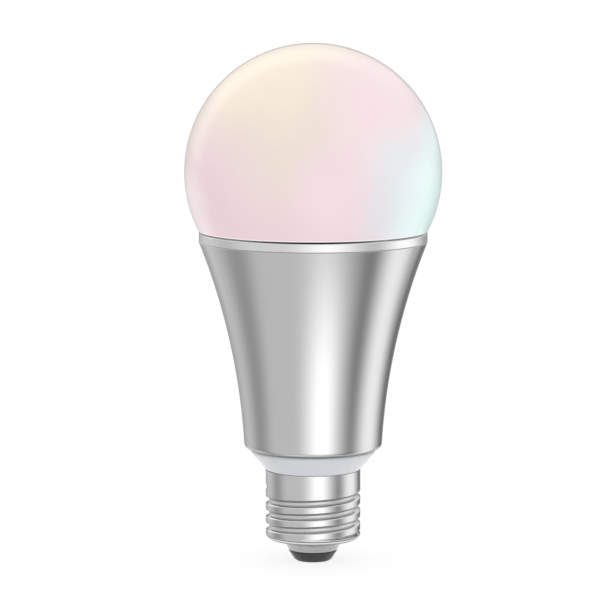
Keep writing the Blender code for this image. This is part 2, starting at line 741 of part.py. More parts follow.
def light_engine():
    cutters = engine_cutters()
    engine_disc("heat_spreader", PLATE_RADIUS, PLATE_BOTTOM, PLATE_TOP, PLATE_METAL, cutters)
    engine_disc("thermal_pad", LED_BOARD_RADIUS, PAD_BOTTOM, PAD_TOP, PAD_GREY, cutters)
    engine_disc(
        "led_board", LED_BOARD_RADIUS, LED_BOARD_BOTTOM, LED_BOARD_TOP, WHITE_MASK, cutters
    )
    white_ring = LED_BOARD_RADIUS - WHITE_LED_EDGE
    half_step = math.pi / WHITE_LED_COUNT
    led_ring("white_led", WHITE_LED_COUNT, WHITE_LED_SIZE, white_ring, half_step, PHOSPHOR)
    led_ring("color_led", COLOR_LED_COUNT, COLOR_LED_SIZE, COLOR_LED_RING, 0, LED_WHITE)
    board_screws()


def board_connector():
    """Pins from the driver board, up through the light engine, into a socket on the LED board."""
    socket_middle = LED_BOTTOM + SOCKET_SIZE[2] / 2
    socket = box("led_socket", SOCKET_SIZE, (0, PIN_Y, socket_middle), LED_WHITE)
    slot_height = 2 * (SOCKET_SIZE[2] - SOCKET_ROOF)
    slot_size = (
        HEADER_LENGTH + PIN_SLOT_MARGIN,
        PIN_SIDE + 2 * PIN_SLOT_MARGIN,
        slot_height,
    )
    boolean(socket, "DIFFERENCE", box("socket_slot", slot_size, (0, PIN_Y, LED_BOTTOM), None))
    header = box(
        "pin_header",
        (HEADER_LENGTH - PIN_SIDE, HEADER_SIDE, HEADER_SIDE),
        (0, PIN_Y, HEADER_TOP - HEADER_SIDE / 2),
        BLACK_PLASTIC,
    )
    pin_top = LED_BOTTOM + SOCKET_SIZE[2] - SOCKET_ROOF - FIT_GAP
    pin_bottom = HEADER_TOP - HEADER_SIDE / 2
    pins = bmesh.new()
    for i in range(PIN_COUNT):
        x = (i - (PIN_COUNT - 1) / 2) * PIN_PITCH
        place = Matrix.Translation((x, PIN_Y, (pin_top + pin_bottom) / 2))
        size = Matrix.Diagonal((PIN_SIDE, PIN_SIDE, pin_top - pin_bottom, 1))
        bmesh.ops.create_cube(pins, size=1.0, matrix=place @ size)
    pin_mesh = bpy.data.meshes.new("header_pins")
    pins.to_mesh(pin_mesh)
    pins.free()
    boolean(header, "UNION", add_object("header_pins", pin_mesh, None))


# Radio module


def radio_module():
    middle = (MODULE_TOP + MODULE_BOTTOM) / 2
    size = (MODULE_WIDTH, MODULE_THICKNESS, MODULE_TOP - MODULE_BOTTOM)
    box("wireless_board", size, (0, MODULE_Y, middle), BLUE_MASK)
    can_y = MODULE_Y - MODULE_THICKNESS / 2 - FACE_GAP - CAN_SIZE[1] / 2
    box("shield_can", CAN_SIZE, (0, can_y, CAN_TOP - CAN_SIZE[2] / 2), CAN_METAL, 0.4 * MM)
    header_size = (MODULE_WIDTH - 2 * PIN_PITCH, MODULE_STANDOFF - 2 * FACE_GAP, MODULE_HEADER_HEIGHT)
    header_z = MODULE_BOTTOM + MODULE_HEADER_HEIGHT / 2
    box(
        "module_header",
        header_size,
        (0, BOARD_BACK - MODULE_STANDOFF / 2, header_z),
        BLACK_PLASTIC,
    )


# Driver


def board_half_width(bore):
    """Half the board's width where it stands in a round bore, off the axis."""
    return math.sqrt(bore**2 - (abs(BOARD_Y) + BOARD_THICKNESS / 2) ** 2) - BOARD_EDGE_GAP


def driver_board():
    """Upright board: narrow in the neck, then widening with the cup."""
    neck_half = board_half_width(NECK_BORE)
    step_z = SPIGOT_TOP + COLUMN_GAP / 2
    edge = [(neck_half, BOARD_BOTTOM), (neck_half, step_z)]
    edge += [
        (board_half_width(cup_bore(z)), z) for z in spaced(step_z, BOARD_TOP, BOARD_EDGE_POINTS)
    ]
    outline = edge + [(-x, z) for x, z in reversed(edge)]
    curve = bpy.data.curves.new("driver_board", "CURVE")
    curve.dimensions = "2D"
    curve.fill_mode = "BOTH"
    curve.extrude = BOARD_THICKNESS / 2
    spline = curve.splines.new("POLY")
    spline.points.add(len(outline) - 1)
    for point, (x, z) in zip(spline.points, outline):
        point.co = (x, z, 0, 1)
    spline.use_cyclic_u = True
    board = add_object("driver_board", curve, GREEN_MASK)
    board.location = (0, BOARD_Y, 0)
    board.rotation_euler.x = math.pi / 2
    return board


def capacitor(name, radius, height, x, bottom, material):
    """An electrolytic can with its rolled-in foot, lying upright against the board."""
    groove = radius * 0.12
    top = bottom + height
    profile = [
        (0, top),
        (radius * 0.8, top),
        (radius, top - radius * 0.2),
        (radius, bottom + 3 * groove),
        (radius - groove, bottom + 2 * groove),
        (radius, bottom + groove),
        (radius - groove, bottom),
        (0, bottom),
    ]
    obj = turned(name, profile, material, SMALL_STEPS)
    obj.location = (x, BOARD_FRONT + FACE_GAP + radius, 0)
    return obj


def line_choke():
    """Drum core with its winding, standing on the board."""
    winding = CHOKE_RADIUS - CHOKE_WINDING_STEP
    profile = [
        (0, CHOKE_HEIGHT),
        (CHOKE_RADIUS, CHOKE_HEIGHT),
        (CHOKE_RADIUS, CHOKE_HEIGHT - CHOKE_FLANGE),
        (winding, CHOKE_HEIGHT - CHOKE_FLANGE),
        (winding, CHOKE_FLANGE),
        (CHOKE_RADIUS, CHOKE_FLANGE),
        (CHOKE_RADIUS, 0),
        (0, 0),
    ]
    choke = turned("line_choke", profile, FERRITE, SMALL_STEPS)
    choke.rotation_euler.x = -math.pi / 2
    choke.location = (-COLUMN_X, BOARD_FRONT + FACE_GAP, COLUMN_START + CHOKE_RADIUS)
    return choke


def transformer():
    """Ferrite core with a round middle leg, and the wound bobbin that carries it off the board."""
    window_half = CORE_SIZE[0] / 2 - CORE_LIMB
    window_height = CORE_SIZE[2] - 2 * CORE_LIMB
    spool = window_half - FIT_GAP
    spool_height = window_height - 2 * FIT_GAP
    bottom = COLUMN_START + 2 * CHOKE_RADIUS + COLUMN_GAP
    place = (-COLUMN_X, BOARD_FRONT + FACE_GAP + spool, bottom + CORE_SIZE[2] / 2)
    core = box("transformer_core", CORE_SIZE, place, FERRITE)
    window = box("core_window", (2 * window_half, 2 * CORE_SIZE[1], window_height), place, None)
    leg = rod("core_leg", CORE_LEG_RADIUS, window_height + CORE_LIMB, place, None)
    boolean(core, "DIFFERENCE", window)
    boolean(core, "UNION", leg)
    bobbin = rod("transformer_bobbin", spool - BOBBIN_WINDING_STEP, spool_height, place, TAPE_YELLOW)
    for i, side in enumerate((-1, 1)):
        z = place[2] + side * (spool_height - BOBBIN_FLANGE) / 2
        flange_size = (2 * spool, 2 * spool, BOBBIN_FLANGE)
        boolean(bobbin, "UNION", box(f"bobbin_flange_{i}", flange_size, (*place[:2], z), None))
    bore = rod("bobbin_bore", CORE_LEG_RADIUS + FIT_GAP, 2 * CORE_SIZE[2], place, None)
    boolean(bobbin, "DIFFERENCE", bore)


def package(name, size, x, z, lead_count, material):
    """A surface-mount part on the back of the board, with leads out of both sides."""
    y = BOARD_BACK - FACE_GAP - size[1] / 2
    body = box(name, size, (x, y, z), material)
    leads = bmesh.new()
    step = size[0] / lead_count
    for i in range(lead_count):
        lead_x = x + (i - (lead_count - 1) / 2) * step
        lead_y = BOARD_BACK - FACE_GAP - PACKAGE_LEAD_THICKNESS
        place = Matrix.Translation((lead_x, lead_y, z))
        lead_size = (step / 2, PACKAGE_LEAD_THICKNESS, size[2] + 2 * PACKAGE_LEAD_REACH, 1)
        bmesh.ops.create_cube(leads, size=1.0, matrix=place @ Matrix.Diagonal(lead_size))
    mesh = bpy.data.meshes.new(name + "_leads")
    leads.to_mesh(mesh)
    leads.free()
    boolean(body, "UNION", add_object(name + "_leads", mesh, None))
    return body


def fuse_resistor():
    """Sleeved fusible resistor lying along the board inside the neck."""
    bottom = BOARD_BOTTOM + FUSE_LEAD_LENGTH
    top = bottom + FUSE_LENGTH
    end = FUSE_RADIUS * 0.6
    profile = [
        (0, top + FUSE_LEAD_LENGTH),
        (FUSE_LEAD_RADIUS, top + FUSE_LEAD_LENGTH),
        (FUSE_LEAD_RADIUS, top),
        (end, top),
        (FUSE_RADIUS, top - end),
        (FUSE_RADIUS, bottom + end),
        (end, bottom),
        (FUSE_LEAD_RADIUS, bottom),
        (FUSE_LEAD_RADIUS, BOARD_BOTTOM),
        (0, BOARD_BOTTOM),
    ]
    fuse = turned("fuse_resistor", profile, SLEEVE_BLUE, SMALL_STEPS)
    fuse.location = (0, BOARD_FRONT + FACE_GAP + FUSE_RADIUS, 0)
    return fuse


def driver():
    driver_board()
    film_x, film_y, film_z = FILM_CAPACITOR_SIZE
    film_place = (COLUMN_X, BOARD_FRONT + FACE_GAP + film_y / 2, COLUMN_START + film_z / 2)
    box("film_capacitor", FILM_CAPACITOR_SIZE, film_place, FILM_RED, 0.6 * MM)
    bulk_bottom = COLUMN_START + film_z + COLUMN_GAP
    capacitor(
        "bulk_capacitor",
        BULK_CAPACITOR_RADIUS,
        BULK_CAPACITOR_HEIGHT,
        COLUMN_X,
        bulk_bottom,
        CAN_BLACK,
    )
    output_bottom = bulk_bottom + BULK_CAPACITOR_HEIGHT + COLUMN_GAP
    capacitor(
        "output_capacitor",
        OUTPUT_CAPACITOR_RADIUS,
        OUTPUT_CAPACITOR_HEIGHT,
        HEADER_LENGTH / 2 + FIT_GAP + OUTPUT_CAPACITOR_RADIUS,
        output_bottom,
        CAN_BLACK,
    )
    line_choke()
    transformer()
    lowest = COLUMN_START + PACKAGE_LEAD_REACH + BRIDGE_SIZE[2] / 2
    package("bridge_rectifier", BRIDGE_SIZE, 0, lowest, 2, BLACK_PLASTIC)
    next_row = lowest + (BRIDGE_SIZE[2] + CHIP_SIZE[2]) / 2 + 2 * PACKAGE_LEAD_REACH + COLUMN_GAP
    package("control_chip", CHIP_SIZE, -COLUMN_X, next_row, 4, BLACK_PLASTIC)
    package("output_diode", DIODE_SIZE, COLUMN_X, next_row, 1, BLACK_PLASTIC)
    fuse_resistor()


def leads():
    """Live wire from the contact to the fuse, and neutral wire from the board out to the shell."""
    stem_top = CONTACT_HEIGHT + STEM_LENGTH
    fuse_y = BOARD_FRONT + FACE_GAP + FUSE_RADIUS
    start = stem_top + FIT_GAP
    end = BOARD_BOTTOM - FIT_GAP
    rise = end - start
    tube(
        "live_lead",
        [
            (0, 0, start),
            (0, fuse_y * 0.2, start + rise * 0.3),
            (0, fuse_y * 0.8, end - rise * 0.3),
            (0, fuse_y, end),
        ],
        LEAD_RADIUS,
        LIVE_RED,
    )
    half = board_half_width(NECK_BORE)
    pad_y = BOARD_BACK - FACE_GAP - LEAD_RADIUS
    out = (NECK_RADIUS + NECK_BORE) / 2
    turn_z = NECK_BOTTOM - 2 * LEAD_RADIUS
    tube(
        "neutral_lead",
        [
            (-half + 2 * LEAD_RADIUS, pad_y, BOARD_BOTTOM + 4 * LEAD_RADIUS),
            (-half + 2 * LEAD_RADIUS, pad_y, NECK_BOTTOM),
            (-(half + out) / 2, pad_y / 2, turn_z),
            (-out, 0, NECK_BOTTOM + LEAD_RADIUS),
            (-out, 0, NECK_BOTTOM + NOTCH_HEIGHT - LEAD_RADIUS),
        ],
        LEAD_RADIUS,
        NEUTRAL_BLACK,
    )


clear_scene()
PARTS = new_collection("smart_light_bulb")
CUTTERS = new_collection("cutters")
OPAL_PLASTIC = finish("opal_plastic", (0.93, 0.87, 0.87), 0.35)
BODY_METAL = finish("body_metal", (0.72, 0.72, 0.72), 0.28, 1.0)
SHELL_METAL = finish("shell_metal", (0.76, 0.76, 0.75), 0.2, 1.0)
CONTACT_METAL = finish("contact_metal", (0.35, 0.35, 0.35), 0.35, 1.0)
BLACK_GLASS = finish("black_glass", (0.03, 0.03, 0.03), 0.25)
WHITE_PLASTIC = finish("white_plastic", (0.82, 0.84, 0.87), 0.4)
CUP_PLASTIC = finish("cup_plastic", (0.86, 0.86, 0.84), 0.5)
SILICONE = finish("silicone", (0.7, 0.7, 0.7), 0.5)
PLATE_METAL = finish("plate_metal", (0.75, 0.75, 0.76), 0.4, 1.0)
PAD_GREY = finish("pad_grey", (0.45, 0.47, 0.5), 0.8)
WHITE_MASK = finish("white_mask", (0.88, 0.88, 0.86), 0.4)
PHOSPHOR = finish("phosphor", (0.9, 0.75, 0.25), 0.5)
LED_WHITE = finish("led_white", (0.9, 0.9, 0.88), 0.4)
SCREW_STEEL = finish("screw_steel", (0.6, 0.6, 0.62), 0.3, 1.0)
BLUE_MASK = finish("blue_mask", (0.05, 0.12, 0.35), 0.4)
GREEN_MASK = finish("green_mask", (0.05, 0.3, 0.12), 0.45)
CAN_METAL = finish("can_metal", (0.78, 0.78, 0.76), 0.3, 1.0)
BLACK_PLASTIC = finish("black_plastic", (0.03, 0.03, 0.035), 0.5)
CAN_BLACK = finish("can_black", (0.04, 0.05, 0.07), 0.4)
FERRITE = finish("ferrite", (0.08, 0.08, 0.085), 0.7)
TAPE_YELLOW = finish("tape_yellow", (0.85, 0.65, 0.1), 0.5)
FILM_RED = finish("film_red", (0.5, 0.12, 0.05), 0.4)
SLEEVE_BLUE = finish("sleeve_blue", (0.15, 0.3, 0.5), 0.5)
LIVE_RED = finish("live_red", (0.6, 0.04, 0.03), 0.45)
NEUTRAL_BLACK = finish("neutral_black", (0.03, 0.03, 0.03), 0.45)

center_contact()
base_insulator()
screw_shell()
base_collar()
heat_sink_housing()
diffuser_seal()
diffuser_globe()
driver_cup()
light_engine()
board_connector()
radio_module()
driver()
leads()
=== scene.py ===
"""Smart light bulb: the dressed scene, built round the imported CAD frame."""

import math

import bmesh
import bpy
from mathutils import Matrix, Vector


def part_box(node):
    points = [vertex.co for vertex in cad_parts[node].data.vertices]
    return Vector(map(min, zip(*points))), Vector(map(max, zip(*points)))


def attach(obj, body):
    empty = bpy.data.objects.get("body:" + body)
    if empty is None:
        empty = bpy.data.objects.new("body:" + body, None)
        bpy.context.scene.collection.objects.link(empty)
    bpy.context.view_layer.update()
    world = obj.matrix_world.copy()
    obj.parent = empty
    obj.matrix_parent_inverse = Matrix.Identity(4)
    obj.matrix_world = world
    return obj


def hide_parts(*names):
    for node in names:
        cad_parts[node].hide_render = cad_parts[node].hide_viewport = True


MM = 0.001

# Sizes in millimetres and angles in degrees: the solids' own, but for fine edges, two gaps and the thread
FIT_GAP = 0.3
FACE_GAP = 0.1

# Centre contact
CONTACT_RADIUS = 4.75
CONTACT_EDGE = 0.2
CONTACT_HEIGHT = 0.25
STEM_RADIUS = 1.5
STEM_EDGE = 0.2

# Insulating nose
NOSE_RADIUS = 6.65
NOSE_TIP_RADIUS = 5.3
NOSE_HEIGHT = 2.6
NOSE_EDGE = 0.2
NOSE_ROUND = 0.35
NOSE_SLOPE = 35
FLANGE_HEIGHT = 2.4

# Screw shell, with the bend above its lip
SHELL_RADIUS = 13.0
SHELL_HEIGHT = 22.25
SHELL_WALL = 0.4
SHELL_CORNER = 1.4
CORNER_SWEEP = 76
SHOULDER_RISE = 1.05
LIP_RADIUS = 6.7
LIP_TOP_RADIUS = 7.7
LIP_HEIGHT = 2.0
BEND_RADIUS = 0.5
BEND_OUT = 0.35
BEND_DROP = 0.45
BEND_START = 105
BEND_END = 148

# Rolled thread
THREAD_PITCH = 3.629
THREAD_DEPTH = 1.0
THREAD_LENGTH = 13.1
THREAD_PHASE = 0.45
THREAD_LEAD_IN = 0.4
THREAD_RUN_OUT = 0.7
GROOVE_WIDTH = 2.2
GROOVE_FLOOR = 0.5

# Collar, with its neck in the shell and its spigot in the body
COLLAR_HEIGHT = 5.5
COLLAR_OVERHANG = 2.4
COLLAR_ROUND = 0.6
COLLAR_EDGE = 0.2
COLLAR_GAP = 0.06
NECK_WALL = 1.3
NECK_LENGTH = 15.0
NOTCH_WIDTH = 1.8
NOTCH_HEIGHT = 6.0
SPIGOT_RADIUS = 14.6
SPIGOT_WALL = 1.4
SNAP_BEAD = 0.6
SNAP_HEIGHT = 1.4
SNAP_SLOT = 2.0
SLOT_RISE = 1.5
SLOT_TURNS = (45, 135)

# Body, with the floor of the cup inside it
HOUSING_HEIGHT = 59.3
HOUSING_WALL = 1.6
FLARE_CURVE = 180.0
FOOT_LEDGE = 4.0
FOOT_ROUND = 1.5
FOOT_LIP = 1.5
CUP_WALL = 1.2
LEDGE_DEPTH = 8.0
LEDGE_WIDTH = 1.5
LEDGE_HEIGHT = 1.5
RIM_WALL = 1.5
RIM_BAND = 2.55
RIM_EDGE = 0.25
RIM_HOLD = 0.03
BAND_GROOVE = 0.14

# Globe, with the seal under its skirt
GLOBE_RADIUS = 35.0
GLOBE_OVERHANG = 3.9
GLOBE_WALL = 1.5
JOINT = 0.45
SKIRT_DEPTH = 3.7
SEAL_HEIGHT = 0.7

# Heights that follow, from the contact up
NOSE_BOTTOM = CONTACT_HEIGHT + FACE_GAP
NOSE_TOP = NOSE_BOTTOM + NOSE_HEIGHT
LIP_Z = NOSE_TOP + FACE_GAP
SHOULDER_Z = LIP_Z + LIP_HEIGHT
THREAD_BOTTOM = SHOULDER_Z + SHOULDER_RISE + SHELL_CORNER
THREAD_END = THREAD_BOTTOM + THREAD_LENGTH
SHELL_TOP = LIP_Z + SHELL_HEIGHT
COLLAR_BOTTOM = SHELL_TOP + COLLAR_GAP
COLLAR_TOP = SHELL_TOP + FIT_GAP + COLLAR_HEIGHT
NECK_BOTTOM = SHELL_TOP + FIT_GAP - NECK_LENGTH
HOUSING_BOTTOM = COLLAR_TOP + FACE_GAP
FOOT_LIP_TOP = HOUSING_BOTTOM + FOOT_LIP
BEAD_BOTTOM = FOOT_LIP_TOP + FACE_GAP + CUP_WALL + FIT_GAP
SPIGOT_TOP = BEAD_BOTTOM + SNAP_HEIGHT
RIM_TOP = HOUSING_BOTTOM + HOUSING_HEIGHT
BAND_BOTTOM = RIM_TOP - RIM_BAND
LEDGE_Z = RIM_TOP - LEDGE_DEPTH
LEDGE_BOTTOM = LEDGE_Z - LEDGE_HEIGHT
SKIRT_BOTTOM = RIM_TOP + FIT_GAP - SKIRT_DEPTH
POCKET_FLOOR = SKIRT_BOTTOM - FIT_GAP - SEAL_HEIGHT - FACE_GAP
GLOBE_LIP = RIM_TOP + JOINT
# A hair lower than in the solid, so that the top stays inside its box
GLOBE_CENTRE = 106.855

# Radii that follow
RIM_RADIUS = GLOBE_RADIUS - GLOBE_OVERHANG
RIM_BORE = RIM_RADIUS - RIM_WALL
SKIRT_RADIUS = RIM_BORE - FIT_GAP
FOOT_BORE = SPIGOT_RADIUS + FIT_GAP
FOOT_RADIUS = FOOT_BORE + FOOT_LEDGE
COLLAR_TOP_RADIUS = SPIGOT_RADIUS + COLLAR_OVERHANG
NECK_RADIUS = SHELL_RADIUS - THREAD_DEPTH - SHELL_WALL - FIT_GAP
NECK_BORE = NECK_RADIUS - NECK_WALL

# Fineness of the meshes: steps round the axis, height of a row of the thread, and points of the profiles
TURN_STEPS = 160
SHELL_STEPS = 180
SMALL_STEPS = 96
THREAD_ROW = 0.085
PLAIN_ROW = 2.0
GLOBE_POINTS = 49
GLOBE_LOWER_POINTS = 16
FLARE_POINTS = 40
WALL_POINTS = 24
ROUND_POINTS = 9
COLLAR_POINTS = 7
TIP_POINTS = 6
EDGE_POINTS = 5

# Angle from which an edge is sharp, and radius up to which a point lies on the axis
SHARP_ANGLE = 35
ON_AXIS = 1e-6


class Surface:
    """A material, with short calls to add and join its nodes."""

    def __init__(self, name):
        self.material = bpy.data.materials.new(name)
        self.material.use_nodes = True
        self.tree = self.material.node_tree
        self.shader = self.tree.nodes["Principled BSDF"]
        self.place = None

    def add(self, kind, inputs=None, **settings):
        """A new node with its settings, and its inputs fed by name or by number."""
        node = self.tree.nodes.new(kind)
        for key, value in settings.items():
            setattr(node, key, value)
        for key, value in (inputs or {}).items():
            self.feed(node.inputs[key], value)
        return node

    def feed(self, socket, value):
        """Joins a socket to another one, or sets it to a constant."""
        if isinstance(value, bpy.types.NodeSocket):
            self.tree.links.new(value, socket)
        else:
            socket.default_value = value

    def set(self, **inputs):
        """Feeds the shader's own sockets, named with underscores for spaces."""
        for key, value in inputs.items():
            self.feed(self.shader.inputs[key.replace("_", " ")], value)

    def show(self, shader):
        """Shows another shader in place of the material's own."""
        self.tree.links.new(shader.outputs[0], self.tree.nodes["Material Output"].inputs["Surface"])

    def position(self):
        """Object coordinates, in metres."""
        if self.place is None:
            self.place = self.add("ShaderNodeTexCoord").outputs["Object"]
        return self.place

    def axis(self, name):
        """One object coordinate, in metres."""
        return self.add("ShaderNodeSeparateXYZ", {0: self.position()}).outputs[name]

    def noise(self, scale, detail=2.0):
        """Cloudy noise, with its scale in features to the metre."""
        inputs = {"Vector": self.position(), "Scale": scale, "Detail": detail}
        return self.add("ShaderNodeTexNoise", inputs).outputs["Fac"]

    def lines(self, value, scale, detail=2.0):
        """Noise along one value only, such as a height, which makes fine rings."""
        inputs = {"W": value, "Scale": scale, "Detail": detail}
        return self.add("ShaderNodeTexNoise", inputs, noise_dimensions="1D").outputs["Fac"]

    def math(self, operation, a, b=0.0, c=0.0):
        """Arithmetic with numbers."""
        return self.add("ShaderNodeMath", {0: a, 1: b, 2: c}, operation=operation).outputs[0]

    def vector(self, operation, *values):
        """Arithmetic with vectors, which gives a vector."""
        node = self.add("ShaderNodeVectorMath", dict(enumerate(values)), operation=operation)
        return node.outputs["Vector"]

    def measure(self, operation, *values):
        """Arithmetic with vectors, which gives a number."""
        node = self.add("ShaderNodeVectorMath", dict(enumerate(values)), operation=operation)
        return node.outputs["Value"]

    def facing_up(self):
        """How far the surface faces up, from -1 to 1."""
        normal = self.add("ShaderNodeNewGeometry").outputs["Normal"]
        return self.add("ShaderNodeSeparateXYZ", {0: normal}).outputs["Z"]

    def spread(self, value, low, high, to_low=0.0, to_high=1.0):
        """A smooth step from one value to another."""
        inputs = {"Value": value, "From Min": low, "From Max": high}
        inputs.update({"To Min": to_low, "To Max": to_high})
        return self.add("ShaderNodeMapRange", inputs, interpolation_type="SMOOTHSTEP").outputs["Result"]

    def vary(self, noise, low, high):
        """A number that follows a noise from one end to the other."""
        return self.spread(noise, 0.2, 0.8, low, high)

    def mix(self, share, a, b):
        """A mixture of two colours."""
        return self.add("ShaderNodeMix", {0: share, 6: a, 7: b}, data_type="RGBA").outputs[2]

    def blend(self, share, a, b):
        """A mixture of two numbers."""
        return self.add("ShaderNodeMix", {0: share, 2: a, 3: b}).outputs[0]

    def bump(self, height, depth, strength):
        """A normal that follows a height, with its depth in millimetres."""
        inputs = {"Height": height, "Distance": depth * MM, "Strength": strength}
        return self.add("ShaderNodeBump", inputs).outputs["Normal"]


def rgb(red, green, blue):
    """A colour written as screen values from 0 to 255."""
    return (*[((v / 255 + 0.055) / 1.055) ** 2.4 for v in (red, green, blue)], 1.0)


def grey(value):
    """A colour of three equal shares."""
    return (value, value, value, 1.0)


def spaced(start, end, count):
    """Evenly spaced values, both ends among them."""
    return [start + (end - start) * i / (count - 1) for i in range(count)]


def arc(centre_r, centre_z, radius, start_degrees, end_degrees, count):
    """Profile points on an arc. Degrees count from the outward direction towards up."""
    angles = [math.radians(a) for a in spaced(start_degrees, end_degrees, count)]
    return [(centre_r + radius * math.cos(a), centre_z + radius * math.sin(a)) for a in angles]


def flare_radius(height):
    """Radius of the body's flared side at a height."""
    top = Vector((RIM_RADIUS, BAND_BOTTOM))
    bottom = Vector((FOOT_RADIUS, HOUSING_BOTTOM + FOOT_ROUND))
    chord = top - bottom
    outward = Vector((chord.y, -chord.x)).normalized()
    centre = (top + bottom) / 2 + outward * math.sqrt(FLARE_CURVE**2 - chord.length_squared / 4)
    return centre.x - math.sqrt(FLARE_CURVE**2 - (height - centre.y) ** 2)


def smooth(mesh):
    """Smooth shading, with the sharp edges kept."""
    mesh.shade_smooth()
    mesh.set_sharp_from_angle(angle=math.radians(SHARP_ANGLE))


def add_mesh(name, bm, *materials):
    """Puts a finished mesh into the scene."""
    mesh = bpy.data.meshes.new(name)
    bm.to_mesh(mesh)
    bm.free()
    smooth(mesh)
    for made in materials:
        mesh.materials.append(made)
    obj = bpy.data.objects.new(name, mesh)
    bpy.context.scene.collection.objects.link(obj)
    return obj


def stands_for(obj, node):
    """Puts a piece on the bulb in place of a CAD node."""
    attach(obj, "root")
    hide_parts(node)


def ring(bm, radii, z):
    """Vertices round the axis at one height, with a radius for each step."""
    angles = [math.tau * i / len(radii) for i in range(len(radii))]
    places = [(r * MM * math.cos(a), r * MM * math.sin(a), z * MM) for r, a in zip(radii, angles)]
    return [bm.verts.new(place) for place in places]


def turned(profile, steps=TURN_STEPS):
    """A closed solid of revolution. The profile's ends meet, or both lie on the axis."""
    bm = bmesh.new()
    rings = [ring(bm, [r] * (steps if r > ON_AXIS else 1), z) for r, z in profile]
    pairs = list(zip(rings, rings[1:]))
    if len(rings[0]) > 1:
        pairs.append((rings[-1], rings[0]))
    for a, b in pairs:
        for i in range(steps):
            j = (i + 1) % steps
            corners = [a[i % len(a)], a[j % len(a)], b[j % len(b)], b[i % len(b)]]
            bm.faces.new(list(dict.fromkeys(corners)))
    bmesh.ops.recalc_face_normals(bm, faces=bm.faces)
    return bm


def cutter(name, size, centre, turn=0.0):
    """A block to cut with, in millimetres and degrees."""
    bm = bmesh.new()
    bmesh.ops.create_cube(bm, size=1.0)
    bmesh.ops.scale(bm, vec=Vector(size) * MM, verts=bm.verts)
    obj = add_mesh(name, bm)
    obj.location = Vector(centre) * MM
    obj.rotation_euler.z = math.radians(turn)
    return obj


def bake(obj):
    """Turns the piece's modifiers into mesh, with its edges sharp again."""
    bpy.context.view_layer.update()
    graph = bpy.context.evaluated_depsgraph_get()
    obj.data = bpy.data.meshes.new_from_object(obj.evaluated_get(graph))
    obj.modifiers.clear()
    smooth(obj.data)


def cut(obj, cutters):
    """Cuts the blocks out of the piece and removes them."""
    for block in cutters:
        modifier = obj.modifiers.new("Cut", "BOOLEAN")
        modifier.object = block
    bake(obj)
    for block in cutters:
        bpy.data.objects.remove(block)


# Materials of the outside

# How far the body's foot faces up where its painted shade underneath is full and where it starts
FOOT_SHADE_FULL = -0.72
FOOT_SHADE_START = -0.42

# Distances to the side where the joint's painted shade starts to turn pale and is pale
JOINT_DARK = 4.0
JOINT_PALE = 20.0

# Marks on the shell, with painted shade under the crests, at the wall's turn and on the shoulder: depths
# in the groove, heights below the thread, and how far the crests face up
GROOVE_START = 0.2
GROOVE_FULL = 0.9
THREAD_FADE = 0.5
TURN_DROP = 0.33
TURN_CORE = 0.06
TURN_REACH = 0.26
SHOULDER_START = 0.7
SHOULDER_FULL = 1.1
CREST_SHADE_FULL = -0.6
CREST_SHADE_START = -0.12

# Glow of the globe, with painted light and shade in some of its tints: direction from its middle, where
# the tint starts and is full, and the tint
GLOW_BASE = rgb(241, 227, 216)
GLOW_AND_PAINTED_LIGHT = [
    ((-0.45, -0.3, 0.95), 0.6, 0.98, rgb(253, 239, 219)),
    ((-0.85, -0.45, -0.35), 0.52, 0.98, rgb(246, 221, 227)),
    ((-0.97, -0.1, -0.35), 0.86, 0.99, rgb(255, 238, 241)),
    ((-0.97, 0.0, 0.3), 0.86, 0.99, rgb(234, 217, 207)),
    ((0.05, -0.75, -0.75), 0.6, 0.98, rgb(244, 218, 225)),
    ((0.3, -0.95, -0.1), 0.82, 0.99, rgb(247, 223, 229)),
    ((0.62, -0.55, 0.5), 0.68, 0.98, rgb(250, 228, 231)),
    ((0.92, 0.0, 0.45), 0.86, 0.99, rgb(231, 215, 220)),
    ((0.82, -0.6, -0.15), 0.76, 0.99, rgb(234, 239, 243)),
    ((0.98, -0.12, 0.1), 0.84, 0.99, rgb(229, 241, 240)),
    ((0.97, -0.15, -0.35), 0.7, 0.97, rgb(233, 255, 253)),
    ((-0.6, 0.7, -0.3), 0.5, 0.95, rgb(222, 250, 245)),
    ((0.5, 0.8, 0.3), 0.5, 0.95, rgb(250, 228, 231)),
]
GLOW_WANDER = 15.0
GLOW_STRENGTH = 0.42

# Painted highlight: a pale line above the globe's lip, its full height and where it ends
LIP_HIGHLIGHT_TINT = rgb(255, 250, 250)
LIP_LINE = 0.2
LIP_LINE_END = 0.4


def turned_aluminium(name, tone, roughness, metallic=1.0):
    """Lathe-finished aluminium: fine rings in the height, faint cloudiness, and painted shade where it
    faces down.
    """
    made = Surface(name)
    rings = made.lines(made.axis("Z"), 5200, 3)
    cloud = made.noise(70)
    # Painted shade: where the foot faces down it is mixed to dark grey
    painted_foot_shade = made.spread(made.facing_up(), FOOT_SHADE_FULL, FOOT_SHADE_START, 1.0, 0.0)
    metal = made.mix(rings, grey(tone - 0.05), grey(tone + 0.04))
    made.set(
        Base_Color=made.mix(painted_foot_shade, metal, grey(0.32)),
        Metallic=metallic,
        Specular_Tint=grey(0.75),
        Roughness=made.math("MULTIPLY_ADD", cloud, 0.05, roughness - 0.025),
        Normal=made.bump(rings, 0.002, 0.5),
    )
    return made.material


def joint_shade():
    """Adhesive in the joint under the globe, with painted shade and light: dark at the front and back,
    pale towards the sides.
    """
    made = Surface("joint_adhesive_painted_shade")
    side = made.math("ABSOLUTE", made.axis("X"))
    cloud = made.noise(900)
    # Painted shade and light: darkest at the front and back, pale towards the sides
    tone = made.spread(side, JOINT_DARK * MM, JOINT_PALE * MM, 0.01, 0.85)
    made.set(
        Base_Color=made.math("MULTIPLY_ADD", cloud, 0.03, tone),
        Roughness=made.vary(cloud, 0.5, 0.7),
    )
    return made.material


def below_thread(drop):
    """A height under the start of the thread, in metres."""
    return (THREAD_BOTTOM - drop) * MM


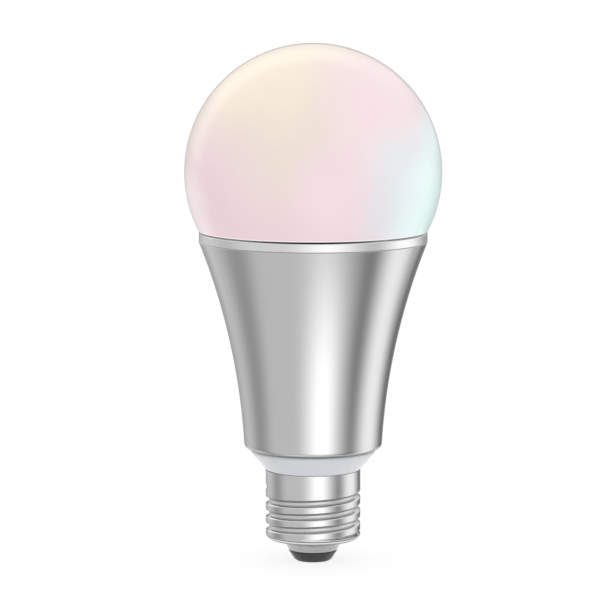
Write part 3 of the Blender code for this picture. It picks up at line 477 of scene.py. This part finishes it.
def nickel():
    """Plated sheet, duller in the groove, with painted shade under the crests, at the wall's turn and on
    the darker, duller shoulder.
    """
    made = Surface("nickel_plate")
    height = made.axis("Z")
    across = made.measure("LENGTH", made.vector("MULTIPLY", made.position(), (1, 1, 0)))
    smudge = made.noise(260, 4)
    plate = made.mix(smudge, grey(0.80), grey(0.88))
    threaded = made.spread(height, below_thread(THREAD_FADE), below_thread(0.0))
    floor_radius = (SHELL_RADIUS - GROOVE_FULL) * MM
    edge_radius = (SHELL_RADIUS - GROOVE_START) * MM
    groove = made.math("MULTIPLY", made.spread(across, floor_radius, edge_radius, 1.0, 0.0), threaded)
    plate = made.mix(groove, plate, grey(0.85))
    # Painted shade: the undersides of the crests, where they face down, are mixed to dark grey
    painted_crest_shade = made.spread(made.facing_up(), CREST_SHADE_FULL, CREST_SHADE_START, 1.0, 0.0)
    plate = made.mix(made.math("MULTIPLY", painted_crest_shade, threaded), plate, grey(0.28))
    # Painted shade: a dark line round the shell where its wall turns under the thread
    off_turn = made.math("ABSOLUTE", made.math("SUBTRACT", height, below_thread(TURN_DROP)))
    turn = made.spread(off_turn, TURN_CORE * MM, TURN_REACH * MM, 1.0, 0.0)
    plate = made.mix(turn, plate, grey(0.2))
    # Painted shade: the shoulder under the thread is mixed to dark grey, and made rougher and less
    # metallic
    shoulder = made.spread(height, below_thread(SHOULDER_FULL), below_thread(SHOULDER_START), 1.0, 0.0)
    dull = made.math("MAXIMUM", made.math("MULTIPLY", groove, 0.6), made.math("MULTIPLY", shoulder, 0.7))
    gloss = made.spread(smudge, 0.3, 0.7, 0.14, 0.2)
    made.set(
        Base_Color=made.mix(shoulder, plate, grey(0.4)),
        Metallic=made.math("SUBTRACT", 1.0, dull),
        Specular_Tint=grey(0.85),
        Roughness=made.math("MULTIPLY_ADD", shoulder, 0.42, gloss),
        Normal=made.bump(made.noise(3500), 0.002, 0.3),
    )
    return made.material


def tinned_lip():
    """Greyer, clouded metal of the lip under the shell, with a glossy skin."""
    made = Surface("tinned_lip")
    cloud = made.noise(600, 3)
    made.set(
        Base_Color=made.mix(cloud, grey(0.46), grey(0.54)),
        Metallic=0.35,
        Roughness=made.vary(cloud, 0.3, 0.42),
        Sheen_Weight=1.0,
        Sheen_Roughness=0.25,
        Coat_Weight=1.0,
        Coat_IOR=1.8,
        Coat_Roughness=0.1,
    )
    return made.material


def opal():
    """Frosted plastic, lit from inside by coloured LEDs that melt into each other, with painted light and
    shade in some of the tints.
    """
    made = Surface("opal_plastic")
    centred = made.vector("ADD", made.position(), (0, 0, -GLOBE_CENTRE * MM))
    inputs = {"Vector": made.position(), "Scale": 38, "Detail": 3}
    drift = made.add("ShaderNodeTexNoise", inputs).outputs["Color"]
    wander = made.vector("SUBTRACT", drift, (0.5, 0.5, 0.5))
    moved = made.vector("MULTIPLY_ADD", wander, [GLOW_WANDER * MM] * 3, centred)
    way = made.vector("NORMALIZE", moved)
    colour = GLOW_BASE
    # The tints hold the LEDs' colours, and some also painted light and shade: lighter where the globe lies
    # in shade, darker at edges that catch reflections
    for direction, low, high, tint in GLOW_AND_PAINTED_LIGHT:
        near = made.measure("DOT_PRODUCT", way, Vector(direction).normalized())
        colour = made.mix(made.spread(near, low, high), colour, tint)
    # Painted highlight: a pale line along the globe just above its lip
    line_top = (GLOBE_LIP + LIP_LINE_END) * MM
    painted_lip_highlight = made.spread(made.axis("Z"), (GLOBE_LIP + LIP_LINE) * MM, line_top, 1.0, 0.0)
    colour = made.mix(painted_lip_highlight, colour, LIP_HIGHLIGHT_TINT)
    grain = made.noise(2600)
    plastic = made.mix(1.0, colour, made.mix(grain, grey(0.68), grey(0.74)))
    plastic.node.blend_type = "MULTIPLY"
    made.set(
        Base_Color=plastic,
        Roughness=0.42,
        Emission_Color=colour,
        Emission_Strength=GLOW_STRENGTH,
        Coat_Weight=0.7,
        Coat_Roughness=0.05,
        Normal=made.bump(grain, 0.004, 0.3),
    )
    return made.material


def white_plastic():
    """Moulded white plastic with a satin skin."""
    made = Surface("white_moulding")
    fine = made.noise(1800, 3)
    made.set(
        Base_Color=made.mix(made.noise(120), (0.85, 0.88, 0.93, 1), (0.89, 0.91, 0.95, 1)),
        Roughness=made.vary(fine, 0.3, 0.42),
        Sheen_Weight=1.0,
        Sheen_Roughness=0.2,
        Coat_Weight=1.0,
        Coat_Roughness=0.12,
        Normal=made.bump(fine, 0.006, 0.3),
    )
    return made.material


def black_glass():
    """Black vitrified insulator."""
    made = Surface("black_insulator")
    cloud = made.noise(500, 3)
    made.set(
        Base_Color=made.mix(cloud, grey(0.03), grey(0.055)),
        Roughness=made.vary(cloud, 0.28, 0.42),
        Normal=made.bump(cloud, 0.02, 0.3),
    )
    return made.material


def tin_with_painted_shade():
    """Uneven tin of the contact, coloured dark as painted shade."""
    made = Surface("tin_with_painted_shade")
    cloud = made.noise(900, 4)
    made.set(
        # Painted shade: the contact's tin is coloured dark, as if in shadow
        Base_Color=made.mix(cloud, grey(0.10), grey(0.2)),
        Metallic=1.0,
        Roughness=made.vary(cloud, 0.3, 0.5),
        Normal=made.bump(cloud, 0.02, 0.4),
    )
    return made.material


# Materials of the inside

# Depths under an LED's top between which the window's fill starts
WINDOW_START = 0.1
WINDOW_FULL = 0.2


def mottled(name, low, high, roughness, metallic=0.0, scale=400):
    """A plain material with a faint cloudiness in its colour, gloss and surface."""
    made = Surface(name)
    cloud = made.noise(scale, 3)
    made.set(
        Base_Color=made.mix(cloud, low, high),
        Metallic=metallic,
        Roughness=made.vary(cloud, roughness - 0.06, roughness + 0.06),
        Normal=made.bump(cloud, 0.01, 0.4),
    )
    return made.material


def circuit_board(name, mask, trace):
    """Solder mask over copper, whose traces show as lines."""
    made = Surface(name)
    inputs = {"Vector": made.position(), "Scale": 260}
    cells = made.add("ShaderNodeTexVoronoi", inputs, feature="DISTANCE_TO_EDGE")
    line = made.spread(cells.outputs["Distance"], 0.05, 0.09, 1.0, 0.0)
    made.set(
        Base_Color=made.mix(line, mask, trace),
        Roughness=made.vary(made.noise(800), 0.28, 0.4),
        Normal=made.bump(line, 0.03, 0.5),
    )
    return made.material


def led_package(name, node, fill):
    """White moulding, with a soft fill in the sunken window under its top."""
    made = Surface(name)
    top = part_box(node)[1].z
    sunken = made.spread(made.axis("Z"), top - WINDOW_FULL * MM, top - WINDOW_START * MM, 1.0, 0.0)
    flat = made.spread(made.facing_up(), 0.5, 0.8)
    made.set(
        Base_Color=made.mix(made.math("MULTIPLY", sunken, flat), grey(0.86), fill),
        Roughness=made.vary(made.noise(900), 0.3, 0.45),
    )
    return made.material


def wound_tape():
    """Yellow tape in turns round the transformer."""
    made = Surface("winding_tape")
    turns = made.lines(made.axis("Z"), 2200, 1)
    made.set(
        Base_Color=made.mix(turns, (0.62, 0.40, 0.03, 1), (0.78, 0.55, 0.07, 1)),
        Roughness=made.spread(turns, 0.3, 0.7, 0.25, 0.4),
        Normal=made.bump(turns, 0.04, 0.6),
    )
    return made.material


def dress_inside(nodes):
    """Gives each node that stays as it is a material, by its name without the number."""
    black = mottled("black_moulding", grey(0.025), grey(0.045), 0.45)
    can = mottled("capacitor_sleeve", (0.02, 0.025, 0.04, 1), (0.035, 0.04, 0.06, 1), 0.3)
    ferrite = mottled("sintered_ferrite", grey(0.05), grey(0.09), 0.6, scale=1500)
    materials = {
        "diffuser_seal": mottled("cured_silicone", grey(0.62), grey(0.72), 0.5),
        "driver_cup": mottled("moulded_cup", (0.74, 0.74, 0.71, 1), (0.80, 0.80, 0.78, 1), 0.45),
        "heat_spreader": mottled("sheet_aluminium", grey(0.72), grey(0.8), 0.32, 1.0),
        "thermal_pad": mottled("gap_pad", (0.36, 0.38, 0.41, 1), (0.45, 0.47, 0.5, 1), 0.7),
        "led_board": circuit_board("white_solder_mask", (0.84, 0.84, 0.81, 1), (0.76, 0.76, 0.72, 1)),
        "led_socket": mottled("socket_moulding", grey(0.74), grey(0.82), 0.4),
        "pin_header": black,
        "wireless_board": circuit_board("blue_solder_mask", (0.02, 0.05, 0.2, 1), (0.05, 0.11, 0.32, 1)),
        "shield_can": mottled("tinned_can", grey(0.7), grey(0.8), 0.28, 1.0),
        "module_header": black,
        "driver_board": circuit_board("green_solder_mask", (0.02, 0.16, 0.05, 1), (0.05, 0.26, 0.1, 1)),
        "film_capacitor": mottled("dipped_film", (0.38, 0.07, 0.03, 1), (0.48, 0.1, 0.04, 1), 0.25),
        "bulk_capacitor": can,
        "output_capacitor": can,
        "line_choke": ferrite,
        "transformer_core": ferrite,
        "transformer_bobbin": wound_tape(),
        "bridge_rectifier": black,
        "control_chip": black,
        "output_diode": black,
        "fuse_resistor": mottled("coated_body", (0.08, 0.2, 0.4, 1), (0.13, 0.27, 0.48, 1), 0.35),
        "live_lead": mottled("red_insulation", (0.5, 0.03, 0.02, 1), (0.6, 0.05, 0.04, 1), 0.45),
        "neutral_lead": mottled("black_insulation", grey(0.02), grey(0.04), 0.45),
        "white_led": led_package("phosphor_led", "white_led_01", (0.85, 0.62, 0.1, 1)),
        "color_led": led_package("colour_led", "color_led_01", (0.55, 0.58, 0.6, 1)),
        "board_screw": mottled("plated_screw", grey(0.55), grey(0.65), 0.3, 1.0),
    }
    for name, obj in nodes.items():
        kind = name.rstrip("_0123456789")
        if kind in materials:
            obj.data.materials.clear()
            obj.data.materials.append(materials[kind])


# Pieces of the outside

# Margins above the lip of the globe and above the shell's shoulder where another material starts
LIP_MARGIN = 0.01
SHOULDER_MARGIN = 0.05


def globe():
    """Opal globe, open at the bottom, with its skirt in the body's rim."""
    bore = SKIRT_RADIUS - GLOBE_WALL
    inner = GLOBE_RADIUS - GLOBE_WALL
    lip_angle = -math.degrees(math.asin((GLOBE_CENTRE - GLOBE_LIP) / GLOBE_RADIUS))
    bore_angle = -math.degrees(math.acos(bore / inner))
    outside = arc(0, GLOBE_CENTRE, GLOBE_RADIUS, 90, 0, GLOBE_POINTS)
    lower = arc(0, GLOBE_CENTRE, GLOBE_RADIUS, 0, lip_angle, GLOBE_LOWER_POINTS)
    inside = arc(0, GLOBE_CENTRE, inner, bore_angle, 90, GLOBE_POINTS)
    profile = [
        (0.0, GLOBE_CENTRE + GLOBE_RADIUS),
        *outside[1:],
        *lower[1:],
        (SKIRT_RADIUS, GLOBE_LIP),
        (SKIRT_RADIUS, SKIRT_BOTTOM),
        (bore, SKIRT_BOTTOM),
        *inside[:-1],
        (0.0, GLOBE_CENTRE + inner),
    ]
    obj = add_mesh("opal_globe", turned(profile), opal(), joint_shade())
    for face in obj.data.polygons:
        face.material_index = int(face.center.z < (GLOBE_LIP + LIP_MARGIN) * MM)
    stands_for(obj, "diffuser_globe")


def housing():
    """Flared body, with the bright band of its rim, a rounded foot and the ledge inside."""
    flare_end = HOUSING_BOTTOM + FOOT_ROUND
    flare = [(flare_radius(z), z) for z in spaced(BAND_BOTTOM, flare_end, FLARE_POINTS)]
    foot = arc(FOOT_RADIUS - FOOT_ROUND, flare_end, FOOT_ROUND, 0, -90, ROUND_POINTS)
    wall = spaced(FOOT_LIP_TOP, LEDGE_BOTTOM - LEDGE_WIDTH, WALL_POINTS)
    plate_bore = flare_radius(LEDGE_Z) - HOUSING_WALL
    ledge_bore = plate_bore - LEDGE_WIDTH
    profile = [
        *arc(RIM_RADIUS - RIM_EDGE, RIM_TOP - RIM_EDGE, RIM_EDGE, 90, 0, EDGE_POINTS),
        (RIM_RADIUS, RIM_TOP - RIM_EDGE - RIM_HOLD),
        (RIM_RADIUS, BAND_BOTTOM + 2 * BAND_GROOVE),
        (RIM_RADIUS - BAND_GROOVE, BAND_BOTTOM + BAND_GROOVE),
        *flare,
        *foot[1:],
        (FOOT_BORE, HOUSING_BOTTOM),
        (FOOT_BORE, FOOT_LIP_TOP),
        *[(flare_radius(z) - HOUSING_WALL, z) for z in wall],
        (ledge_bore, LEDGE_BOTTOM),
        (ledge_bore, LEDGE_Z),
        (plate_bore, LEDGE_Z),
        (plate_bore, POCKET_FLOOR),
        (RIM_BORE, POCKET_FLOOR),
        (RIM_BORE, RIM_TOP),
    ]
    obj = add_mesh(
        "turned_housing",
        turned(profile),
        turned_aluminium("turned_aluminium", tone=0.86, roughness=0.2),
        turned_aluminium("polished_rim", tone=0.93, roughness=0.16, metallic=0.6),
        joint_shade(),
    )
    for face in obj.data.polygons:
        across = math.hypot(face.center.x, face.center.y) / MM
        face.material_index = int(face.center.z > BAND_BOTTOM * MM)
        if face.material_index and across < RIM_RADIUS - RIM_EDGE:
            face.material_index = 2
    stands_for(obj, "heat_sink_housing")


def collar():
    """White cone under the body, with a slotted snap spigot above and the notched neck below."""
    bead = FOOT_BORE + SNAP_BEAD
    spigot_bore = SPIGOT_RADIUS - SPIGOT_WALL
    top_centre = (COLLAR_TOP_RADIUS - COLLAR_ROUND, COLLAR_TOP - COLLAR_ROUND)
    edge_centre = (SHELL_RADIUS - COLLAR_EDGE, COLLAR_BOTTOM + COLLAR_EDGE)
    slope = math.degrees(math.atan2(COLLAR_TOP_RADIUS - SHELL_RADIUS, COLLAR_TOP - COLLAR_BOTTOM))
    profile = [
        (SPIGOT_RADIUS - SNAP_BEAD, SPIGOT_TOP),
        (bead, BEAD_BOTTOM + SNAP_BEAD / 2),
        (bead, BEAD_BOTTOM),
        (SPIGOT_RADIUS, BEAD_BOTTOM),
        (SPIGOT_RADIUS, COLLAR_TOP),
        *arc(*top_centre, COLLAR_ROUND, 90, -slope, COLLAR_POINTS),
        *arc(*edge_centre, COLLAR_EDGE, -slope, -90, EDGE_POINTS),
        (NECK_RADIUS, COLLAR_BOTTOM),
        (NECK_RADIUS, NECK_BOTTOM),
        (NECK_BORE, NECK_BOTTOM),
        (NECK_BORE, COLLAR_BOTTOM),
        (spigot_bore, COLLAR_TOP),
        (spigot_bore, SPIGOT_TOP),
    ]
    obj = add_mesh("white_collar", turned(profile), white_plastic())
    # The blocks reach past the walls that they cut
    slot_height = 2 * (SPIGOT_TOP - COLLAR_TOP)
    slot_middle = (0, 0, COLLAR_TOP + SLOT_RISE + slot_height / 2)
    slot = (SNAP_SLOT, 4 * SPIGOT_RADIUS, slot_height)
    notch_middle = (-(NECK_RADIUS + NECK_BORE) / 2, 0, NECK_BOTTOM)
    notch = (4 * NECK_WALL, NOTCH_WIDTH, 2 * NOTCH_HEIGHT)
    slots = [cutter("slot", slot, slot_middle, turn) for turn in SLOT_TURNS]
    cut(obj, [*slots, cutter("notch", notch, notch_middle)])
    stands_for(obj, "base_collar")


def thread_radius(angle, height):
    """Radius of the rolled thread: a helical groove with a flat floor, faded out at both ends."""
    turns = (height - THREAD_PHASE) / THREAD_PITCH - angle / math.tau
    offset = (turns - round(turns)) * THREAD_PITCH
    slope = (GROOVE_WIDTH / 2 - abs(offset)) / (GROOVE_WIDTH / 2 - GROOVE_FLOOR / 2)
    slope = min(max(slope, 0), 1)
    started = (height - THREAD_BOTTOM) / THREAD_LEAD_IN
    ended = (THREAD_END - (height - offset)) / THREAD_RUN_OUT
    kept = min(max(min(started, ended), 0), 1)
    return SHELL_RADIUS - THREAD_DEPTH * kept * slope * slope * (3 - 2 * slope)


def shell():
    """Rolled sheet: plain top, thread, rounded corner, shoulder and turned-in lip."""
    thread_top = THREAD_END + GROOVE_WIDTH / 2
    rows = math.ceil((thread_top - THREAD_BOTTOM) / THREAD_ROW)
    heights = [SHELL_TOP, SHELL_TOP - PLAIN_ROW, *spaced(thread_top, THREAD_BOTTOM, rows)]
    angles = [math.tau * i / SHELL_STEPS for i in range(SHELL_STEPS)]
    corner_radius = SHELL_RADIUS - SHELL_CORNER
    corner = arc(corner_radius, THREAD_BOTTOM, SHELL_CORNER, 0, -CORNER_SWEEP, ROUND_POINTS)
    bend_centre = (LIP_TOP_RADIUS + BEND_OUT, SHOULDER_Z - BEND_DROP)
    bend = arc(*bend_centre, BEND_RADIUS, BEND_START, BEND_END, EDGE_POINTS)
    bm = bmesh.new()
    rings = [ring(bm, [thread_radius(a, z) for a in angles], z) for z in heights]
    rings += [ring(bm, [r] * SHELL_STEPS, z) for r, z in [*corner[1:], *bend, (LIP_RADIUS, LIP_Z)]]
    for a, b in zip(rings, rings[1:]):
        for i in range(SHELL_STEPS):
            j = (i + 1) % SHELL_STEPS
            bm.faces.new((a[i], b[i], b[j], a[j]))
    obj = add_mesh("rolled_shell", bm, nickel(), tinned_lip())
    sheet = obj.modifiers.new("Sheet", "SOLIDIFY")
    sheet.thickness = SHELL_WALL * MM
    sheet.offset = -1
    bake(obj)
    for face in obj.data.polygons:
        face.material_index = int(face.center.z < (SHOULDER_Z + SHOULDER_MARGIN) * MM)
    stands_for(obj, "screw_shell")


def insulator():
    """Black nose under the shell, with its waist in the lip and its flange inside."""
    node_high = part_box("base_insulator")[1]
    flange = node_high.x / MM
    top = node_high.z / MM
    waist = LIP_RADIUS - SHELL_WALL - FIT_GAP
    hole = STEM_RADIUS + FIT_GAP
    seat = SHOULDER_Z + SHELL_WALL + FIT_GAP
    edge_centre = (NOSE_RADIUS - NOSE_EDGE, NOSE_TOP - NOSE_EDGE)
    tip_centre = (NOSE_TIP_RADIUS - NOSE_ROUND, NOSE_BOTTOM + NOSE_ROUND)
    profile = [
        (flange, top),
        (flange, top - FLANGE_HEIGHT),
        (LIP_TOP_RADIUS, seat),
        (waist, seat),
        (waist, NOSE_TOP),
        *arc(*edge_centre, NOSE_EDGE, 90, -NOSE_SLOPE, EDGE_POINTS),
        *arc(*tip_centre, NOSE_ROUND, -NOSE_SLOPE, -90, TIP_POINTS),
        (hole, NOSE_BOTTOM),
        (hole, top),
    ]
    obj = add_mesh("insulator_nose", turned(profile, SMALL_STEPS), black_glass())
    stands_for(obj, "base_insulator")


def contact():
    """Contact button at the end, with its stem up through the insulator."""
    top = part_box("center_contact")[1].z / MM
    profile = [
        (0, top),
        (STEM_RADIUS - STEM_EDGE, top),
        (STEM_RADIUS, top - STEM_EDGE),
        (STEM_RADIUS, CONTACT_HEIGHT),
        (CONTACT_RADIUS, CONTACT_HEIGHT),
        *arc(CONTACT_RADIUS - CONTACT_EDGE, CONTACT_EDGE, CONTACT_EDGE, 0, -90, TIP_POINTS),
        (0, 0),
    ]
    obj = add_mesh("contact_button", turned(profile, SMALL_STEPS), tin_with_painted_shade())
    stands_for(obj, "center_contact")


# Studio

# Camera: the point that it looks at, its distance and tilt, and its sensor and lens
CAMERA_TARGET = (-3.58, 0.0, 71.9)
CAMERA_DISTANCE = 900.0
CAMERA_TILT = 7
CAMERA_SENSOR = 36
CAMERA_LENS = 198

# Floor: its disc, its drop below the bulb, where it is as white as the background, and its middle's share
FLOOR_RADIUS = 32.0
FLOOR_DROP = 0.05
FLOOR_WHITE_FROM = 30.0
FLOOR_MIDDLE_WHITE = 0.86

# Tent: a sphere round the bulb. Heights on it run from -1 to 1
TENT_RADIUS = 1600.0
TENT_MIDDLE = 70.0
TENT_SEGMENTS = 48
TENT_RINGS = 24

# Upright panels: degrees to the right of the camera, half width of the even part, end and brightness
PANELS = [
    (-137, 0, 56, 0.48),
    (-30, 35, 78, 0.41),
]
BETWEEN_PANELS = 0.14

# Leaning panels, without brightness, and the heights and levels between which their brightness changes
SIDE_PANEL = (110, 4, 46)
SIDE_LEVELS = (-0.17, -0.11, 0.84, 1.2)
KEY_PANEL = (21, 0, 52)
KEY_LEVELS = (-0.9, -0.42, 0.18, 0.84)

# Degrees of lean to one unit of height, the height where the lean is none, and where it stops on each
PANEL_LEAN = 35
LEAN_FROM = -0.47
SIDE_LEAN_STOP = -0.3
KEY_LEAN_STOP = -0.45

# Cards behind the bulb: panel as above, heights where it is full and where it ends, and brightness
LOW_CARDS = [
    (180, 6, 26, -0.2, -0.17, 0.7),
    (180, 28, 48, -0.36, -0.26, 1.0),
    (180, 50, 75, -0.62, -0.52, 1.0),
]

# Haze over the panels: the heights between which it comes in, and its shares there
HAZE = (-0.3, -0.1, 0.0, 0.15)

# Roof: brightness in front, and parts with their direction, where they start and are full, and brightness
ROOF_LEVEL = 0.74
ROOF_PARTS = [
    ("y", 0.47, 0.53, 1.3),
    ("y", 0.7, 0.88, 0.75),
    ("x", 0.1, 0.6, 0.78),
    ("y", 0.93, 0.98, 0.15),
]

# Heights between which the panels give way to the roof, and to the white floor
ROOF_BLEND = (-0.02, 0.12)
FLOOR_BLEND = (-0.95, -0.84, 1.0, 0.0)


def panel_share(made, angle, middle, even, reach):
    """How much of a panel a direction sees, from 0 to 1."""
    off = made.math("WRAP", made.math("SUBTRACT", angle, math.radians(middle)), math.pi, -math.pi)
    off = made.math("ABSOLUTE", off)
    return made.spread(off, math.radians(even), math.radians(reach), 1.0, 0.0)


def leaning(made, angle, height, stop):
    """The angle round the tent as a panel that leans sees it, up to the height where the lean stops."""
    raised = made.math("SUBTRACT", made.math("MINIMUM", height, stop), LEAN_FROM)
    return made.math("MULTIPLY_ADD", raised, math.radians(PANEL_LEAN), angle)


def panel_light(made, angle, z):
    """Brightness of the tent's sides: the panels, the cards behind and the haze."""
    light = BETWEEN_PANELS
    for middle, even, reach, level in PANELS:
        light = made.math("MULTIPLY_ADD", panel_share(made, angle, middle, even, reach), level, light)
    side = panel_share(made, leaning(made, angle, z, SIDE_LEAN_STOP), *SIDE_PANEL)
    light = made.math("MULTIPLY_ADD", side, made.spread(z, *SIDE_LEVELS), light)
    key = panel_share(made, leaning(made, angle, z, KEY_LEAN_STOP), *KEY_PANEL)
    light = made.math("MULTIPLY_ADD", key, made.spread(z, *KEY_LEVELS), light)
    for middle, even, reach, full, end, level in LOW_CARDS:
        card = panel_share(made, angle, middle, even, reach)
        card = made.math("MULTIPLY", card, made.spread(z, full, end, 1.0, 0.0))
        light = made.blend(card, light, level)
    return made.blend(made.spread(z, *HAZE), light, 1.0)


def light_tent():
    """A tent of soft panels round the bulb, which the camera looks through."""
    bm = bmesh.new()
    bmesh.ops.create_uvsphere(bm, u_segments=TENT_SEGMENTS, v_segments=TENT_RINGS, radius=TENT_RADIUS * MM)
    made = Surface("tent_panels")
    way = made.vector("NORMALIZE", made.position())
    x, y, z = made.add("ShaderNodeSeparateXYZ", {0: way}).outputs
    angle = made.math("ARCTAN2", x, made.math("MULTIPLY", y, -1.0))
    roof = ROOF_LEVEL
    for direction, start, full, level in ROOF_PARTS:
        roof = made.blend(made.spread({"x": x, "y": y}[direction], start, full), roof, level)
    light = made.blend(made.spread(z, *ROOF_BLEND), panel_light(made, angle, z), roof)
    light = made.blend(made.spread(z, *FLOOR_BLEND), light, 1.0)
    made.show(made.add("ShaderNodeEmission", {"Strength": light}))
    tent = add_mesh("light_tent", bm, made.material)
    tent.location.z = TENT_MIDDLE * MM
    tent.visible_camera = False


def floor():
    """A small pale disc under the bulb that fades into the white background."""
    bm = bmesh.new()
    bmesh.ops.create_circle(bm, cap_ends=True, segments=SMALL_STEPS, radius=FLOOR_RADIUS * MM)
    made = Surface("pale_floor")
    made.set(Base_Color=grey(0.9), Roughness=0.9, Specular_IOR_Level=0.0)
    distance = made.measure("LENGTH", made.position())
    path = made.add("ShaderNodeLightPath")
    seen = path.outputs["Is Camera Ray"]
    for ray in ("Is Glossy Ray", "Is Transmission Ray"):
        seen = made.math("MAXIMUM", seen, path.outputs[ray])
    white = made.add("ShaderNodeEmission", {"Color": grey(1.0)})
    whiteness = made.spread(distance, 0.0, FLOOR_WHITE_FROM * MM, FLOOR_MIDDLE_WHITE, 1.0)
    share = made.math("MULTIPLY", seen, whiteness)
    inputs = {0: share, 1: made.shader.outputs[0], 2: white.outputs[0]}
    made.show(made.add("ShaderNodeMixShader", inputs))
    ground = add_mesh("floor", bm, made.material)
    ground.location.z = -FLOOR_DROP * MM


def camera():
    """The photograph's view."""
    made = bpy.data.objects.new("camera", bpy.data.cameras.new("camera"))
    bpy.context.scene.collection.objects.link(made)
    tilt = math.radians(CAMERA_TILT)
    back = Vector((0, -math.cos(tilt), math.sin(tilt)))
    made.location = Vector(CAMERA_TARGET) * MM + CAMERA_DISTANCE * MM * back
    made.rotation_euler = (math.pi / 2 - tilt, 0, 0)
    made.data.sensor_width = CAMERA_SENSOR
    made.data.lens = CAMERA_LENS
    bpy.context.scene.camera = made


def white_world():
    """White background, with colours shown as they are."""
    world = bpy.data.worlds.new("white")
    world.use_nodes = True
    world.node_tree.nodes["Background"].inputs["Color"].default_value = grey(1.0)
    bpy.context.scene.world = world
    bpy.context.scene.view_settings.view_transform = "Standard"


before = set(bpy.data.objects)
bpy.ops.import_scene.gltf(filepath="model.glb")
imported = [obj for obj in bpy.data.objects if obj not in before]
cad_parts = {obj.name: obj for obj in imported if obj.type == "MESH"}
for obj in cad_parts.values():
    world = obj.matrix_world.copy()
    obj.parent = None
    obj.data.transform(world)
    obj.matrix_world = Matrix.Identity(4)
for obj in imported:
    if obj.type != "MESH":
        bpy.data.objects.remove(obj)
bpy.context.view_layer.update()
camera()
white_world()
light_tent()
floor()
globe()
housing()
collar()
shell()
insulator()
contact()
dress_inside(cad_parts)
